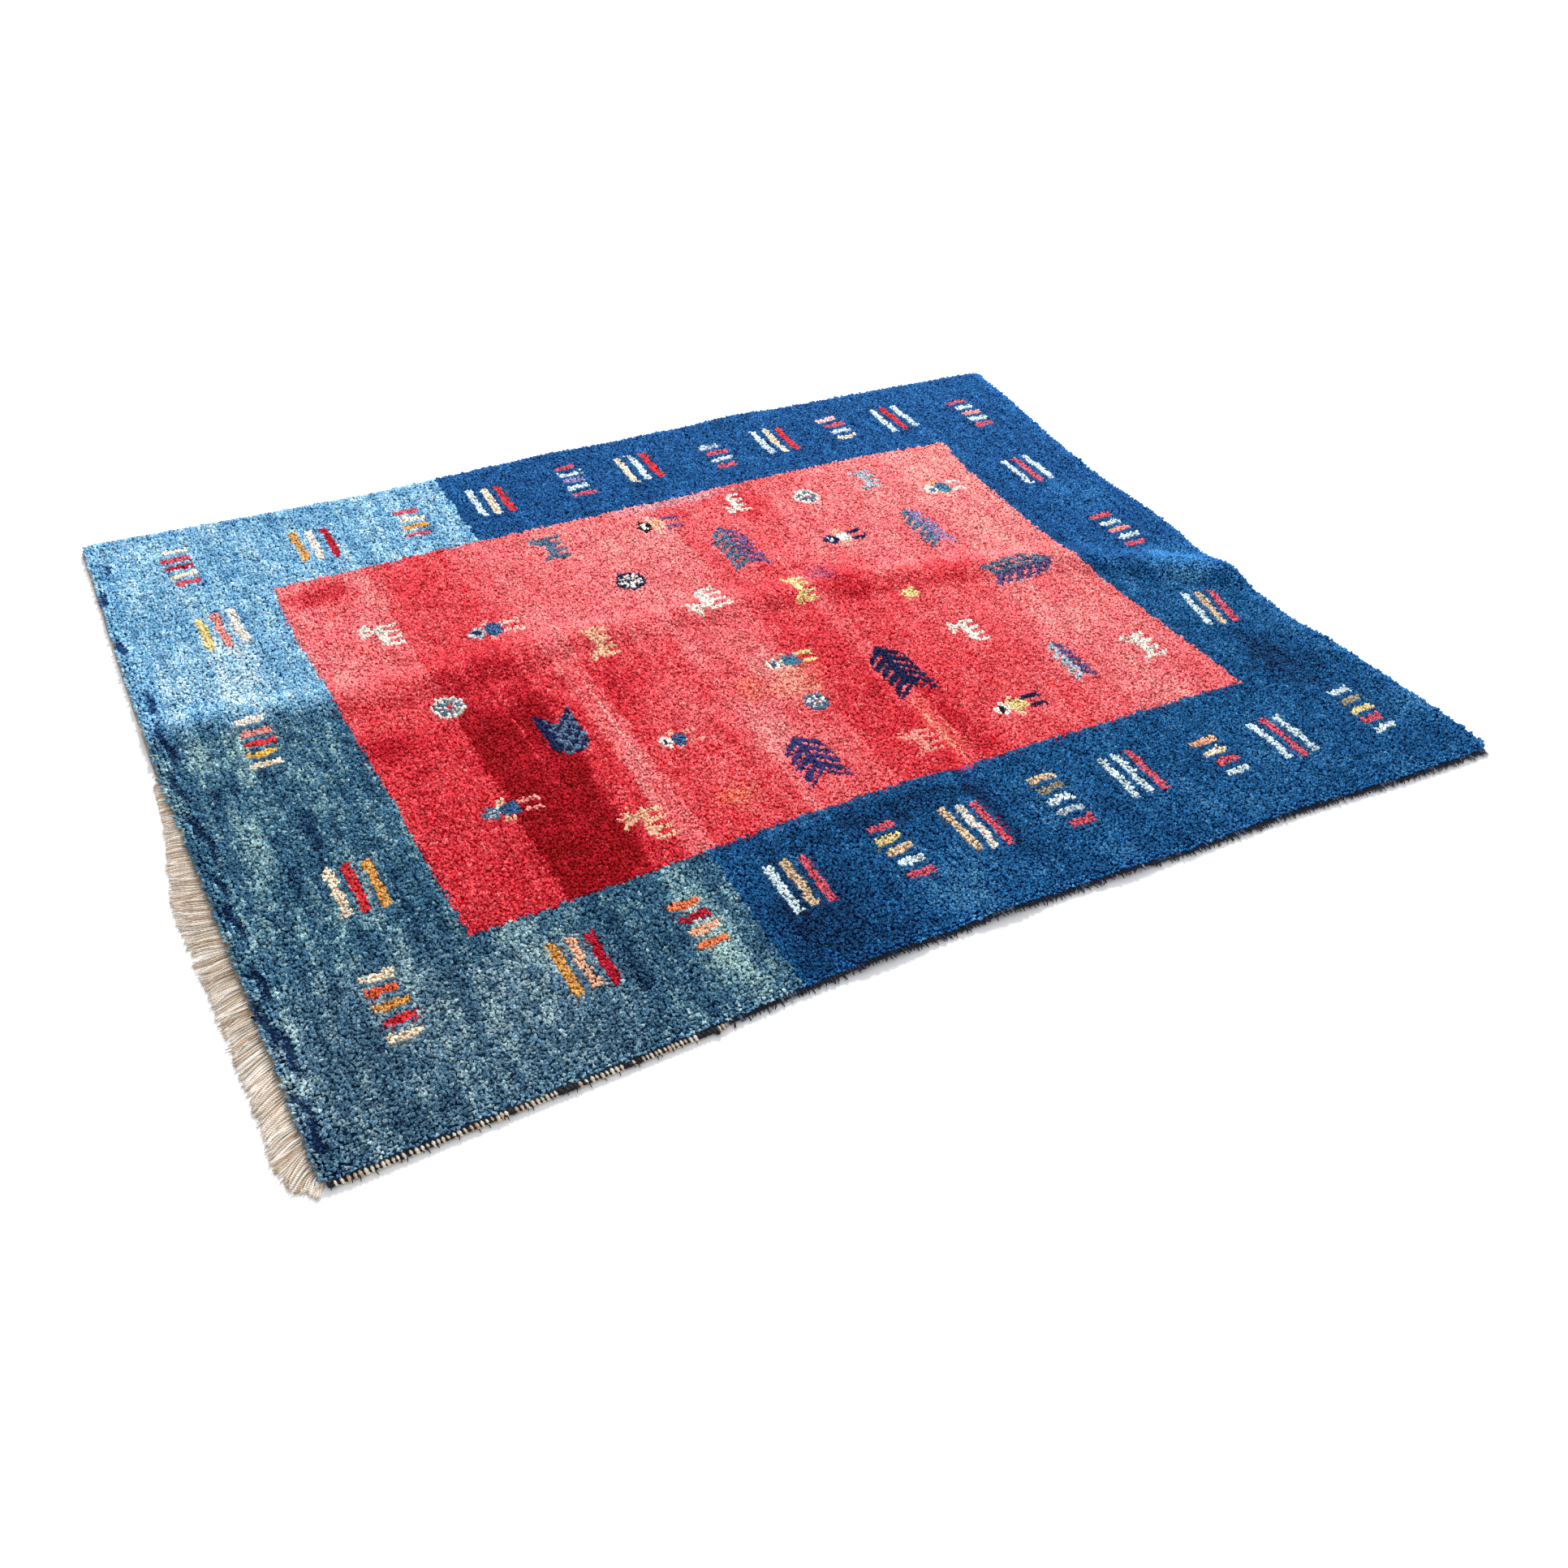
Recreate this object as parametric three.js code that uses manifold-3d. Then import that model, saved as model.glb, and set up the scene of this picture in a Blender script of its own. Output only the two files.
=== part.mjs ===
// A hand-knotted gabbeh rug lying on a floor: one thick wool-piled cloth, overcast along both sides,
// with the cotton warp ends showing as a fringe at one end.
//
// Millimetres, Z up. The origin is on the floor under the middle of the rug, X runs along the warp
// towards the plain end and Y across it towards the far side. Every piece is worked out on the flat
// rug, a plain rectangle, and then laid: bent to the outline and lifted by the folds it lies in.
import * as THREE from 'three';
import { mergeVertices } from 'three/addons/utils/BufferGeometryUtils.js';
import Module from 'manifold-3d';

const wasm = await Module();
wasm.setup();

// Size of the flat rug, pile included and fringe left out.
const HALF_LENGTH = 975;
const HALF_WIDTH = 755;
const PILE_TOP = 13.5;
const CORNER_CUT = 4;

// Room between the outline and the foundation's edge, for the bindings and the fringe, and the
// gap that parts one piece from the next.
const EDGE_ROOM = 7;
const EDGE_ROOM_HEIGHT = 6.7;
const GAP = 0.4;

// How far each side lies from the middle line, at a place along the rug.
const SIDES = [
  { x: -975, near: 770, far: 755 },
  { x: -745, near: 763, far: 748 },
  { x: -440, near: 755, far: 743 },
  { x: -300, near: 748, far: 751 },
  { x: -135, near: 745, far: 759 },
  { x: 70, near: 747, far: 761 },
  { x: 370, near: 758, far: 767 },
  { x: 580, near: 760, far: 764 },
  { x: 790, near: 773, far: 760 },
  { x: 1000, near: 779, far: 755 },
];

// How far each end lies from the middle, at a place across the rug.
const ENDS = [
  { y: -770, left: 977, right: 1001 },
  { y: -610, left: 977, right: 988 },
  { y: -460, left: 978, right: 976 },
  { y: -340, left: 979, right: 962 },
  { y: -255, left: 980, right: 962 },
  { y: -100, left: 982, right: 960 },
  { y: 60, left: 985, right: 972 },
  { y: 250, left: 982, right: 962 },
  { y: 400, left: 979, right: 970 },
  { y: 610, left: 973, right: 991 },
  { y: 760, left: 971, right: 1000 },
];

// Folds that lift the whole cloth: each crest runs from one place to the other.
const FOLDS = [
  // The old middle fold, one long crest that swings nearer towards the plain end and rises there.
  { x0: -990, y0: 157, rise0: 5, x1: -530, y1: 108, rise1: 9, half: 64 },
  { x0: -530, y0: 108, rise0: 9, x1: -300, y1: 128, rise1: 9, half: 64 },
  { x0: -300, y0: 128, rise0: 9, x1: 230, y1: 101, rise1: 6, half: 60 },
  { x0: 230, y0: 101, rise0: 6, x1: 665, y1: 10, rise1: 8, half: 60 },
  { x0: 665, y0: 10, rise0: 8, x1: 1010, y1: -210, rise1: 19, half: 68 },
  // The plain end stands up a little near its near corner.
  { x0: 1010, y0: -665, rise0: 7, x1: 1000, y1: -420, rise1: 9, half: 120 },
  // Short waves that reach in from the sides and the plain end.
  { x0: 890, y0: 305, rise0: 0, x1: 1010, y1: 322, rise1: 6, half: 38 },
  { x0: 20, y0: -800, rise0: 5, x1: 60, y1: -480, rise1: 3, half: 85 },
  { x0: 235, y0: -800, rise0: 4, x1: 265, y1: -480, rise1: 2, half: 85 },
  { x0: -190, y0: -800, rise0: 6, x1: -170, y1: -610, rise1: 0, half: 110 },
  { x0: 370, y0: 800, rise0: 5, x1: 350, y1: 620, rise1: 0, half: 110 },
  { x0: -60, y0: 800, rise0: 4, x1: -70, y1: 640, rise1: 0, half: 100 },
];

// Troughs in the pile alone: it parts along the fringed end and dips along old fold lines.
const TROUGHS = [
  { x0: -957, y0: -740, x1: -956, y1: 735, depth: 5, half: 15 },
  { x0: 878, y0: -560, x1: 815, y1: -330, depth: 3, half: 45 },
  { x0: 105, y0: -690, x1: 150, y1: -450, depth: 3, half: 45 },
  { x0: 150, y0: -450, x1: 185, y1: -265, depth: 2, half: 40 },
  { x0: -240, y0: -740, x1: -285, y1: -640, depth: 2.5, half: 45 },
];

// Gentle unevenness of the pile's top, as waves across and along the rug.
const UNEVEN = [
  { size: 0.5, along: 230, across: 310, phase: 0.4 },
  { size: 0.4, along: -170, across: 260, phase: 2.1 },
  { size: 0.3, along: 410, across: -190, phase: 4.0 },
];

// The rim from the underside up: the cloth's foundation ends inside the outline, which leaves room
// for the bindings and the fringe, and the pile bulges out over them and rounds in at the top.
// The plain end has no room to leave.
const RIM = [
  { inset: EDGE_ROOM, plainInset: 2.5, height: 0 },
  { inset: EDGE_ROOM, plainInset: 2.5, height: EDGE_ROOM_HEIGHT },
  { inset: 1.2, plainInset: 0.4, height: 7.8 },
  { inset: 1.4, plainInset: 0.8, height: 10.2 },
  { inset: 5.5, plainInset: 5, height: PILE_TOP - 0.8 },
];

// Grid lines of the cloth, closer at the rim, the parted pile and the centre folds.
const COLUMNS = [
  { until: -963, step: 12 },
  { until: -936, step: 9 },
  { until: 940, step: 55 },
  { until: 963, step: 23 },
  { until: HALF_LENGTH, step: 12 },
];
const ROWS = [
  { until: -743, step: 12 },
  { until: -240, step: 52 },
  { until: 200, step: 25 },
  { until: 743, step: 52 },
  { until: HALF_WIDTH, step: 12 },
];

// Overcast bindings: wool wrapped round the edge warps, cream for the first stretch and then navy.
const BINDING = { width: 7.2, height: EDGE_ROOM_HEIGHT - GAP, centre: 2.5, sides: 8, step: 45 };
const BINDING_ENDS = 968;
const YARN_CHANGE = -437;
const BINDINGS = [
  { name: 'near_binding_cream', side: -1, from: -BINDING_ENDS, to: YARN_CHANGE - GAP, colour: 0xcdb9a6 },
  { name: 'near_binding_navy', side: -1, from: YARN_CHANGE, to: BINDING_ENDS, colour: 0x1b2036 },
  { name: 'far_binding_cream', side: 1, from: -BINDING_ENDS, to: YARN_CHANGE - GAP, colour: 0xcdb9a6 },
  { name: 'far_binding_navy', side: 1, from: YARN_CHANGE, to: BINDING_ENDS, colour: 0x1b2036 },
];

// Cotton end strip under the pile of the fringed end, and the warp ends that run out of it.
const STRIP = { inner: EDGE_ROOM - GAP, outer: -0.6, height: 3.2, clear: EDGE_ROOM, step: 45 };
const STRAND = { width: 2.7, height: 2.2, tip: 0.55, pitch: 3.7, root: 1.2, bend: 1.3, stations: 3 };
const STRAND_VARIES = { lean: 3, length: 0.24 };
const FRINGE_FROM = -742;
const FRINGE_TO = 42;

// Which way the warp ends lean, in degrees towards the far side, and how long they are.
const FRINGE = [
  { y: -755, lean: -30, length: 42 },
  { y: -600, lean: -26, length: 43 },
  { y: -460, lean: -21, length: 42 },
  { y: -375, lean: -13, length: 43 },
  { y: -290, lean: 8, length: 46 },
  { y: -225, lean: 18, length: 45 },
  { y: -140, lean: 13, length: 32 },
  { y: -60, lean: 6, length: 17 },
  { y: 45, lean: 2, length: 9 },
];

// Reads one column of a table at a place between its rows, along a smooth curve.
function read(table, key, place, column) {
  const last = table.length - 1;
  let row = 0;
  while (row < last - 1 && place > table[row + 1][key]) row += 1;
  const value = (index) => table[THREE.MathUtils.clamp(index, 0, last)][column];
  const start = table[row][key];
  const end = table[row + 1][key];
  const t = THREE.MathUtils.clamp((place - start) / (end - start), 0, 1);
  const into = (value(row + 1) - value(row - 1)) / 2;
  const out = (value(row + 2) - value(row)) / 2;
  const change = value(row + 1) - value(row);
  const curve = into + out - 2 * change;
  const turn = 3 * change - 2 * into - out;
  return value(row) + t * (into + t * (turn + t * curve));
}

// Distance from a place to a line between two places, and how far along that line it is.
function beside(line, x, y) {
  const dx = line.x1 - line.x0;
  const dy = line.y1 - line.y0;
  const share = ((x - line.x0) * dx + (y - line.y0) * dy) / (dx * dx + dy * dy);
  const along = THREE.MathUtils.clamp(share, 0, 1);
  const away = Math.hypot(x - line.x0 - along * dx, y - line.y0 - along * dy);
  return { along, away };
}

// Height share of a soft ridge or trough at a distance from its middle line.
function swell(away, half) {
  return away < half ? 0.5 + 0.5 * Math.cos((Math.PI * away) / half) : 0;
}

// How far the underside of the cloth stands off the floor.
function lift(x, y) {
  let height = 0;
  for (const fold of FOLDS) {
    const { along, away } = beside(fold, x, y);
    const rise = THREE.MathUtils.lerp(fold.rise0, fold.rise1, along);
    height = Math.max(height, rise * swell(away, fold.half));
  }
  return height;
}

// How far the pile's top stands above its even height, less where the pile is parted or pressed.
function unevenness(x, y) {
  let height = 0;
  for (const wave of UNEVEN) {
    height += wave.size * Math.sin(2 * Math.PI * (x / wave.along + y / wave.across) + wave.phase);
  }
  for (const trough of TROUGHS) {
    height -= trough.depth * swell(beside(trough, x, y).away, trough.half);
  }
  return height;
}

// Lays a place of the flat rug: along and across it, and above its underside.
function lay(along, across, height) {
  const left = -read(ENDS, 'y', across, 'left');
  const right = read(ENDS, 'y', across, 'right');
  const x = THREE.MathUtils.mapLinear(along, -HALF_LENGTH, HALF_LENGTH, left, right);
  const near = -read(SIDES, 'x', x, 'near');
  const far = read(SIDES, 'x', x, 'far');
  const y = THREE.MathUtils.mapLinear(across, -HALF_WIDTH, HALF_WIDTH, near, far);
  return new THREE.Vector3(x, y, lift(x, y) + height);
}

// Even steps through a table of stretches, starting at the negative end.
function gridLines(start, stretches) {
  const lines = [start];
  for (const stretch of stretches) {
    const from = lines[lines.length - 1];
    const steps = Math.max(1, Math.round((stretch.until - from) / stretch.step));
    for (let step = 1; step <= steps; step += 1) {
      lines.push(THREE.MathUtils.lerp(from, stretch.until, step / steps));
    }
  }
  return lines;
}

// Gathers corner points and triangles of one closed body.
class Body {
  constructor() {
    this.points = [];
    this.triangles = [];
  }

  point(place) {
    this.points.push(place.x, place.y, place.z);
    return this.points.length / 3 - 1;
  }

  quad(a, b, c, d) {
    this.triangles.push(a, b, c, a, c, d);
  }

  geometry() {
    const geometry = new THREE.BufferGeometry();
    geometry.setAttribute('position', new THREE.Float32BufferAttribute(this.points, 3));
    geometry.setIndex(this.triangles);
    geometry.computeVertexNormals();
    return geometry;
  }
}

// The knotted cloth: a grid for the pile's top, the same grid for the underside, and the rim.
function clothGeometry() {
  const body = new Body();
  const columns = gridLines(-HALF_LENGTH, COLUMNS);
  const rows = gridLines(-HALF_WIDTH, ROWS);
  const lastColumn = columns.length - 1;
  const lastRow = rows.length - 1;

  // A grid point, drawn in by the inset of its rim level if it is on the rim.
  const flatPlace = (column, row, level) => {
    const corner = (column % lastColumn === 0 && row % lastRow === 0) ? CORNER_CUT : 0;
    let along = columns[column];
    let across = rows[row];
    if (column === 0) along += level.inset + corner;
    if (column === lastColumn) along -= level.plainInset + corner;
    if (row === 0) across += level.inset + corner;
    if (row === lastRow) across -= level.inset + corner;
    return { along, across };
  };
  const underLevel = RIM[0];
  const topLevel = RIM[RIM.length - 1];
  const grid = (level, shape) => columns.map((_, column) => rows.map((__, row) => {
    const { along, across } = flatPlace(column, row, level);
    const onRim = column % lastColumn === 0 || row % lastRow === 0;
    return body.point(shape(along, across, onRim));
  }));
  const under = grid(underLevel, (along, across) => lay(along, across, 0));
  const top = grid(topLevel, (along, across, onRim) => {
    const place = lay(along, across, onRim ? topLevel.height : PILE_TOP);
    if (!onRim) place.z += unevenness(place.x, place.y);
    return place;
  });
  for (let column = 0; column < lastColumn; column += 1) {
    for (let row = 0; row < lastRow; row += 1) {
      const cell = (points) => [
        points[column][row], points[column + 1][row], points[column + 1][row + 1], points[column][row + 1],
      ];
      body.quad(...cell(top));
      body.quad(...cell(under).reverse());
    }
  }

  // Grid points round the rim: along the near side, the plain end, the far side and back.
  const round = [];
  for (let column = 0; column < lastColumn; column += 1) round.push([column, 0]);
  for (let row = 0; row < lastRow; row += 1) round.push([lastColumn, row]);
  for (let column = lastColumn; column > 0; column -= 1) round.push([column, lastRow]);
  for (let row = lastRow; row > 0; row -= 1) round.push([0, row]);
  const rings = RIM.map((level) => {
    if (level === underLevel) return round.map(([column, row]) => under[column][row]);
    if (level === topLevel) return round.map(([column, row]) => top[column][row]);
    return round.map(([column, row]) => {
      const { along, across } = flatPlace(column, row, level);
      return body.point(lay(along, across, level.height));
    });
  });
  for (let level = 1; level < rings.length; level += 1) {
    for (let spot = 0; spot < round.length; spot += 1) {
      const next = (spot + 1) % round.length;
      body.quad(rings[level - 1][spot], rings[level - 1][next], rings[level][next], rings[level][spot]);
    }
  }
  return body.geometry();
}

// One overcast stretch: an eight-sided bar with a flat underside, laid along a side.
function bindingGeometry({ side, from, to }) {
  const body = new Body();
  const steps = Math.round((to - from) / BINDING.step);
  const sections = [];
  for (let step = 0; step <= steps; step += 1) {
    const along = THREE.MathUtils.lerp(from, to, step / steps);
    const section = [];
    for (let corner = 0; corner < BINDING.sides; corner += 1) {
      const angle = (2 * Math.PI * (corner + 0.5)) / BINDING.sides;
      const reach = 1 / Math.cos(Math.PI / BINDING.sides);
      const out = BINDING.centre + 0.5 * BINDING.width * reach * Math.sin(angle);
      const height = 0.5 * BINDING.height * (1 - reach * Math.cos(angle));
      section.push(body.point(lay(along, side * (HALF_WIDTH - out), height)));
    }
    sections.push(side > 0 ? section : section.reverse());
  }
  for (let step = 1; step < sections.length; step += 1) {
    for (let corner = 0; corner < BINDING.sides; corner += 1) {
      const next = (corner + 1) % BINDING.sides;
      const [before, after] = [sections[step - 1], sections[step]];
      body.quad(before[corner], after[corner], after[next], before[next]);
    }
  }
  const [first, last] = [sections[0], sections[sections.length - 1]];
  for (let corner = 1; corner < BINDING.sides - 1; corner += 1) {
    body.triangles.push(first[0], first[corner], first[corner + 1]);
    body.triangles.push(last[0], last[corner + 1], last[corner]);
  }
  return body.geometry();
}

// A number from 0 to 1 that looks random but is the same each time.
function scatter(index, kind) {
  const wave = Math.sin(index * 12.9898 + kind * 78.233) * 43758.5453;
  return wave - Math.floor(wave);
}

// The strip that holds the warp ends, as long as the end between the two bindings.
function stripGeometry() {
  const body = new Body();
  const from = -HALF_WIDTH + STRIP.clear;
  const to = HALF_WIDTH - STRIP.clear;
  const steps = Math.round((to - from) / STRIP.step);
  const corners = [
    { inset: STRIP.outer, height: 0 },
    { inset: STRIP.inner, height: 0 },
    { inset: STRIP.inner, height: STRIP.height },
    { inset: STRIP.outer, height: STRIP.height },
  ];
  const sections = [];
  for (let step = 0; step <= steps; step += 1) {
    const across = THREE.MathUtils.lerp(from, to, step / steps);
    sections.push(corners.map(({ inset, height }) => body.point(lay(inset - HALF_LENGTH, across, height))));
  }
  for (let step = 1; step < sections.length; step += 1) {
    for (let corner = 0; corner < corners.length; corner += 1) {
      const next = (corner + 1) % corners.length;
      const [before, after] = [sections[step - 1], sections[step]];
      body.quad(before[corner], after[corner], after[next], before[next]);
    }
  }
  const [first, last] = [sections[0], sections[sections.length - 1]];
  body.quad(first[0], first[1], first[2], first[3]);
  body.quad(last[3], last[2], last[1], last[0]);
  return body.geometry();
}

// One warp end: three-sided, its flat side level on the floor, bending away as it runs out.
function strandGeometry(index, across) {
  const body = new Body();
  const turn = STRAND_VARIES.lean * (scatter(index, 1) - 0.5);
  const lean = THREE.MathUtils.degToRad(read(FRINGE, 'y', across, 'lean') + turn);
  const stretch = 1 + STRAND_VARIES.length * (scatter(index, 2) - 0.5);
  const length = read(FRINGE, 'y', across, 'length') * stretch;
  const sections = [];
  for (let station = 0; station < STRAND.stations; station += 1) {
    const share = station / (STRAND.stations - 1);
    const run = share * length * Math.cos(lean);
    const sway = length * Math.sin(lean) * share ** STRAND.bend;
    const middle = lay(-HALF_LENGTH + STRIP.outer + STRAND.root - run, across + sway, 0);
    const size = THREE.MathUtils.lerp(1, STRAND.tip, share ** 3);
    const half = 0.5 * STRAND.width * size;
    const corners = [[half, 0], [0, STRAND.height * size], [-half, 0]];
    sections.push(corners.map(([aside, height]) => body.point(
      new THREE.Vector3(middle.x, middle.y + aside, middle.z + height),
    )));
  }
  for (let station = 1; station < sections.length; station += 1) {
    for (let corner = 0; corner < 3; corner += 1) {
      const next = (corner + 1) % 3;
      const [before, after] = [sections[station - 1], sections[station]];
      body.quad(before[corner], after[corner], after[next], before[next]);
    }
  }
  body.triangles.push(...sections[0]);
  body.triangles.push(...sections[sections.length - 1].slice().reverse());
  return body.geometry();
}

// A closed geometry as a solid that can be joined to others.
function solidOf(geometry) {
  const bare = geometry.clone();
  bare.deleteAttribute('normal');
  const merged = mergeVertices(bare);
  return new wasm.Manifold(new wasm.Mesh({
    numProp: 3,
    vertProperties: new Float32Array(merged.attributes.position.array),
    triVerts: new Uint32Array(merged.index.array),
  }));
}

// A joined solid as a geometry again.
function geometryOf(solid) {
  const mesh = solid.getMesh();
  const geometry = new THREE.BufferGeometry();
  geometry.setAttribute('position', new THREE.BufferAttribute(mesh.vertProperties, 3));
  geometry.setIndex(new THREE.BufferAttribute(mesh.triVerts, 1));
  geometry.computeVertexNormals();
  return geometry;
}

// The fringe: each warp end is rooted in the strip and stands apart from the next one.
function fringeGeometry() {
  let fringe = solidOf(stripGeometry());
  const count = Math.round((FRINGE_TO - FRINGE_FROM) / STRAND.pitch);
  for (let index = 0; index <= count; index += 1) {
    const across = THREE.MathUtils.lerp(FRINGE_FROM, FRINGE_TO, index / count);
    fringe = fringe.add(solidOf(strandGeometry(index, across)));
  }
  return geometryOf(fringe);
}

function piece(name, geometry, colour, roughness) {
  const material = new THREE.MeshStandardMaterial({ color: colour, roughness, metalness: 0 });
  const mesh = new THREE.Mesh(geometry, material);
  mesh.name = name;
  return mesh;
}

const rug = new THREE.Group();
rug.add(piece('knotted_cloth', clothGeometry(), 0x2a5f95, 0.95));
for (const binding of BINDINGS) {
  rug.add(piece(binding.name, bindingGeometry(binding), binding.colour, 0.9));
}
rug.add(piece('end_fringe', fringeGeometry(), 0xc9b8a0, 0.9));

export default rug;
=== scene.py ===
import math

import bmesh
import bpy
import numpy as np
from mathutils import Euler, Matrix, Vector


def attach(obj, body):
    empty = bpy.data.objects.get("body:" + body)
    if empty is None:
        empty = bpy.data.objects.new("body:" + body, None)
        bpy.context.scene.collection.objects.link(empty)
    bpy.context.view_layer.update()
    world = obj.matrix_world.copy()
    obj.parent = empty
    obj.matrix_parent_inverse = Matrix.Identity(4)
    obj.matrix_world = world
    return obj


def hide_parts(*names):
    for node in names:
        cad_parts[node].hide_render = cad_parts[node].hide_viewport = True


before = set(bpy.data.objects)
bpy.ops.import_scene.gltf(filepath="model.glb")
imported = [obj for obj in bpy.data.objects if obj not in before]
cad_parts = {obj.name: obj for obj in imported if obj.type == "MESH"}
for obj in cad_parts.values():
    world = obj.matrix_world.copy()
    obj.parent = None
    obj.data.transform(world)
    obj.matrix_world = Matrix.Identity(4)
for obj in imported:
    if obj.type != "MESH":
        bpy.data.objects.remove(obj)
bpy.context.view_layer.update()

# The foundation: cotton warps and wefts in one flat cloth, with the knots' roots packed between them.
# It is woven and knotted in one piece on the loom, and lies on the floor with a few low folds in it.
# The design shows on its back too, in rows of small knots with a weft after each row.

# Flat size of the knotted part, and the tops of its pile and its foundation, in millimetres.
HALF_LENGTH = 975
HALF_WIDTH = 755
PILE_TOP = 13.5
FOUNDATION_TOP = 7.2

# Room without knots for the bindings and the end strip, and how far a corner is rounded.
SIDE_ROOM = 7.4
PLAIN_END_ROOM = 3.0
CORNER = 20


def rows_of(columns, lines):
    """Rows of a table: on each line a number or a word for each of the named columns."""
    rows = [line.split() for line in lines.strip().splitlines()]
    return [
        dict(zip(columns.split(), [entry if entry[0].isalpha() else float(entry) for entry in row]))
        for row in rows
    ]


# How far each side lies from the middle line, at a place along the rug, and each end from the middle.
SIDES = rows_of("x near far", """
    -975 770 755
    -745 763 748
    -440 755 743
    -300 748 751
    -135 745 759
    70 747 761
    370 758 767
    580 760 764
    790 773 760
    1000 779 755
""")
ENDS = rows_of("y left right", """
    -770 977 1001
    -610 977 988
    -460 978 976
    -340 979 962
    -255 980 962
    -100 982 960
    60 985 972
    250 982 962
    400 979 970
    610 973 991
    760 971 1000
""")

# Folds that lift the cloth: each crest runs from one place to the other, and the first five are
# the one long crest of the old middle fold.
FOLDS = rows_of("x0 y0 rise0 x1 y1 rise1 half", """
    -990 157 5 -530 108 9 64
    -530 108 9 -300 128 9 64
    -300 128 9 230 101 6 60
    230 101 6 665 10 8 60
    665 10 8 1010 -210 19 68
    1010 -665 7 1000 -420 9 120
    890 305 0 1010 322 6 38
    20 -800 5 60 -480 3 85
    235 -800 4 265 -480 2 85
    -190 -800 6 -170 -610 0 110
    370 800 5 350 620 0 110
    -60 800 4 -70 640 0 100
""")
MIDDLE_FOLD = FOLDS[:5]


def read_table(table, key, column, places):
    """Values of one column at places between the table's rows, along a smooth curve."""
    keys = np.array([row[key] for row in table], float)
    values = np.array([row[column] for row in table], float)
    row = np.clip(np.searchsorted(keys, places) - 1, 0, len(keys) - 2)
    t = np.clip((places - keys[row]) / (keys[row + 1] - keys[row]), 0, 1)
    padded = np.pad(values, 1, mode="edge")
    before, start, end, after = (padded[row + step] for step in range(4))
    into, out, change = (end - before) / 2, (after - start) / 2, end - start
    return start + t * (into + t * (3 * change - 2 * into - out + t * (into + out - 2 * change)))


def beside(line, x, y):
    """How far along a line each place is, from 0 to 1, and how far away from it."""
    dx, dy = line["x1"] - line["x0"], line["y1"] - line["y0"]
    along = np.clip(((x - line["x0"]) * dx + (y - line["y0"]) * dy) / (dx * dx + dy * dy), 0, 1)
    return along, np.hypot(x - line["x0"] - along * dx, y - line["y0"] - along * dy)


def swell(away, half):
    """The height of a soft ridge, from 1 on its crest to 0 at half its width."""
    return np.where(away < half, 0.5 + 0.5 * np.cos(np.pi * np.minimum(away, half) / half), 0)


def lift(x, y):
    """How far the cloth's underside stands off the floor."""
    height = np.zeros(np.shape(x))
    for fold in FOLDS:
        along, away = beside(fold, x, y)
        rise = fold["rise0"] + along * (fold["rise1"] - fold["rise0"])
        height = np.maximum(height, rise * swell(away, fold["half"]))
    return height


def lay(along, across, height):
    """Lays places of the flat rug on the floor. All in millimetres, one row for each place."""
    past_x = np.clip(np.abs(along) - (HALF_LENGTH - CORNER), 0, CORNER)
    past_y = np.clip(np.abs(across) - (HALF_WIDTH - CORNER), 0, CORNER)
    drawn_in = 1 - np.maximum(past_x, past_y) / np.maximum(np.hypot(past_x, past_y), 1e-6)
    drawn_in = np.where(np.minimum(past_x, past_y) > 0, drawn_in, 0)
    along = along - np.sign(along) * past_x * drawn_in
    across = across - np.sign(across) * past_y * drawn_in
    left = -read_table(ENDS, "y", "left", across)
    right = read_table(ENDS, "y", "right", across)
    x = left + (along + HALF_LENGTH) / (2 * HALF_LENGTH) * (right - left)
    near = -read_table(SIDES, "x", "near", x)
    far = read_table(SIDES, "x", "far", x)
    y = near + (across + HALF_WIDTH) / (2 * HALF_WIDTH) * (far - near)
    return np.stack([x, y, lift(x, y) + height], axis=-1)


def linear(colour):
    """An sRGB hex colour as linear red, green and blue."""
    channels = np.array([int(colour[place:place + 2], 16) for place in (1, 3, 5)]) / 255
    return np.where(channels > 0.04045, ((channels + 0.055) / 1.055) ** 2.4, channels / 12.92)


def mottle(x, y, size, seed):
    """Soft uneven patches about this size across, between -1 and 1."""
    repeat = 64
    past_zero = 1000
    patches = np.random.default_rng(seed).uniform(-1, 1, (repeat, repeat))
    column, row = x / size + past_zero, y / size + past_zero
    left, low = np.floor(column).astype(int), np.floor(row).astype(int)
    s, t = column - left, row - low
    s, t = s * s * (3 - 2 * s), t * t * (3 - 2 * t)

    def patch(i, j):
        return patches[(left + i) % repeat, (low + j) % repeat]

    near = patch(0, 0) * (1 - s) + patch(1, 0) * s
    far = patch(0, 1) * (1 - s) + patch(1, 1) * s
    return near * (1 - t) + far * t


# Dyed wools. The names are a dyer's: what the colour is, not what it is for.
WOOL = {name: linear(colour) for name, colour in dict(
    chalk="#f8ede0", cream="#f8e4c8", ice="#d8eaf0", straw="#f6dc98", honey="#f0bc58", ochre="#e0a456",
    tan="#dcc09e", olive="#98917c", peach="#fcc09e", orange="#f88858", salmon="#fc9c92", rose="#d65c6c",
    pink="#ffc8c0", scarlet="#d8343a", crimson="#bc1830", navy="#182450", black="#15141c", slate="#5a7490",
    mist="#b4c2cc", plum="#6b5688", teal="#4a88a6", blue="#3c6492", lilac="#9a8fc0",
    indigo="#363c78", rust="#e0603c",
).items()}

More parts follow.
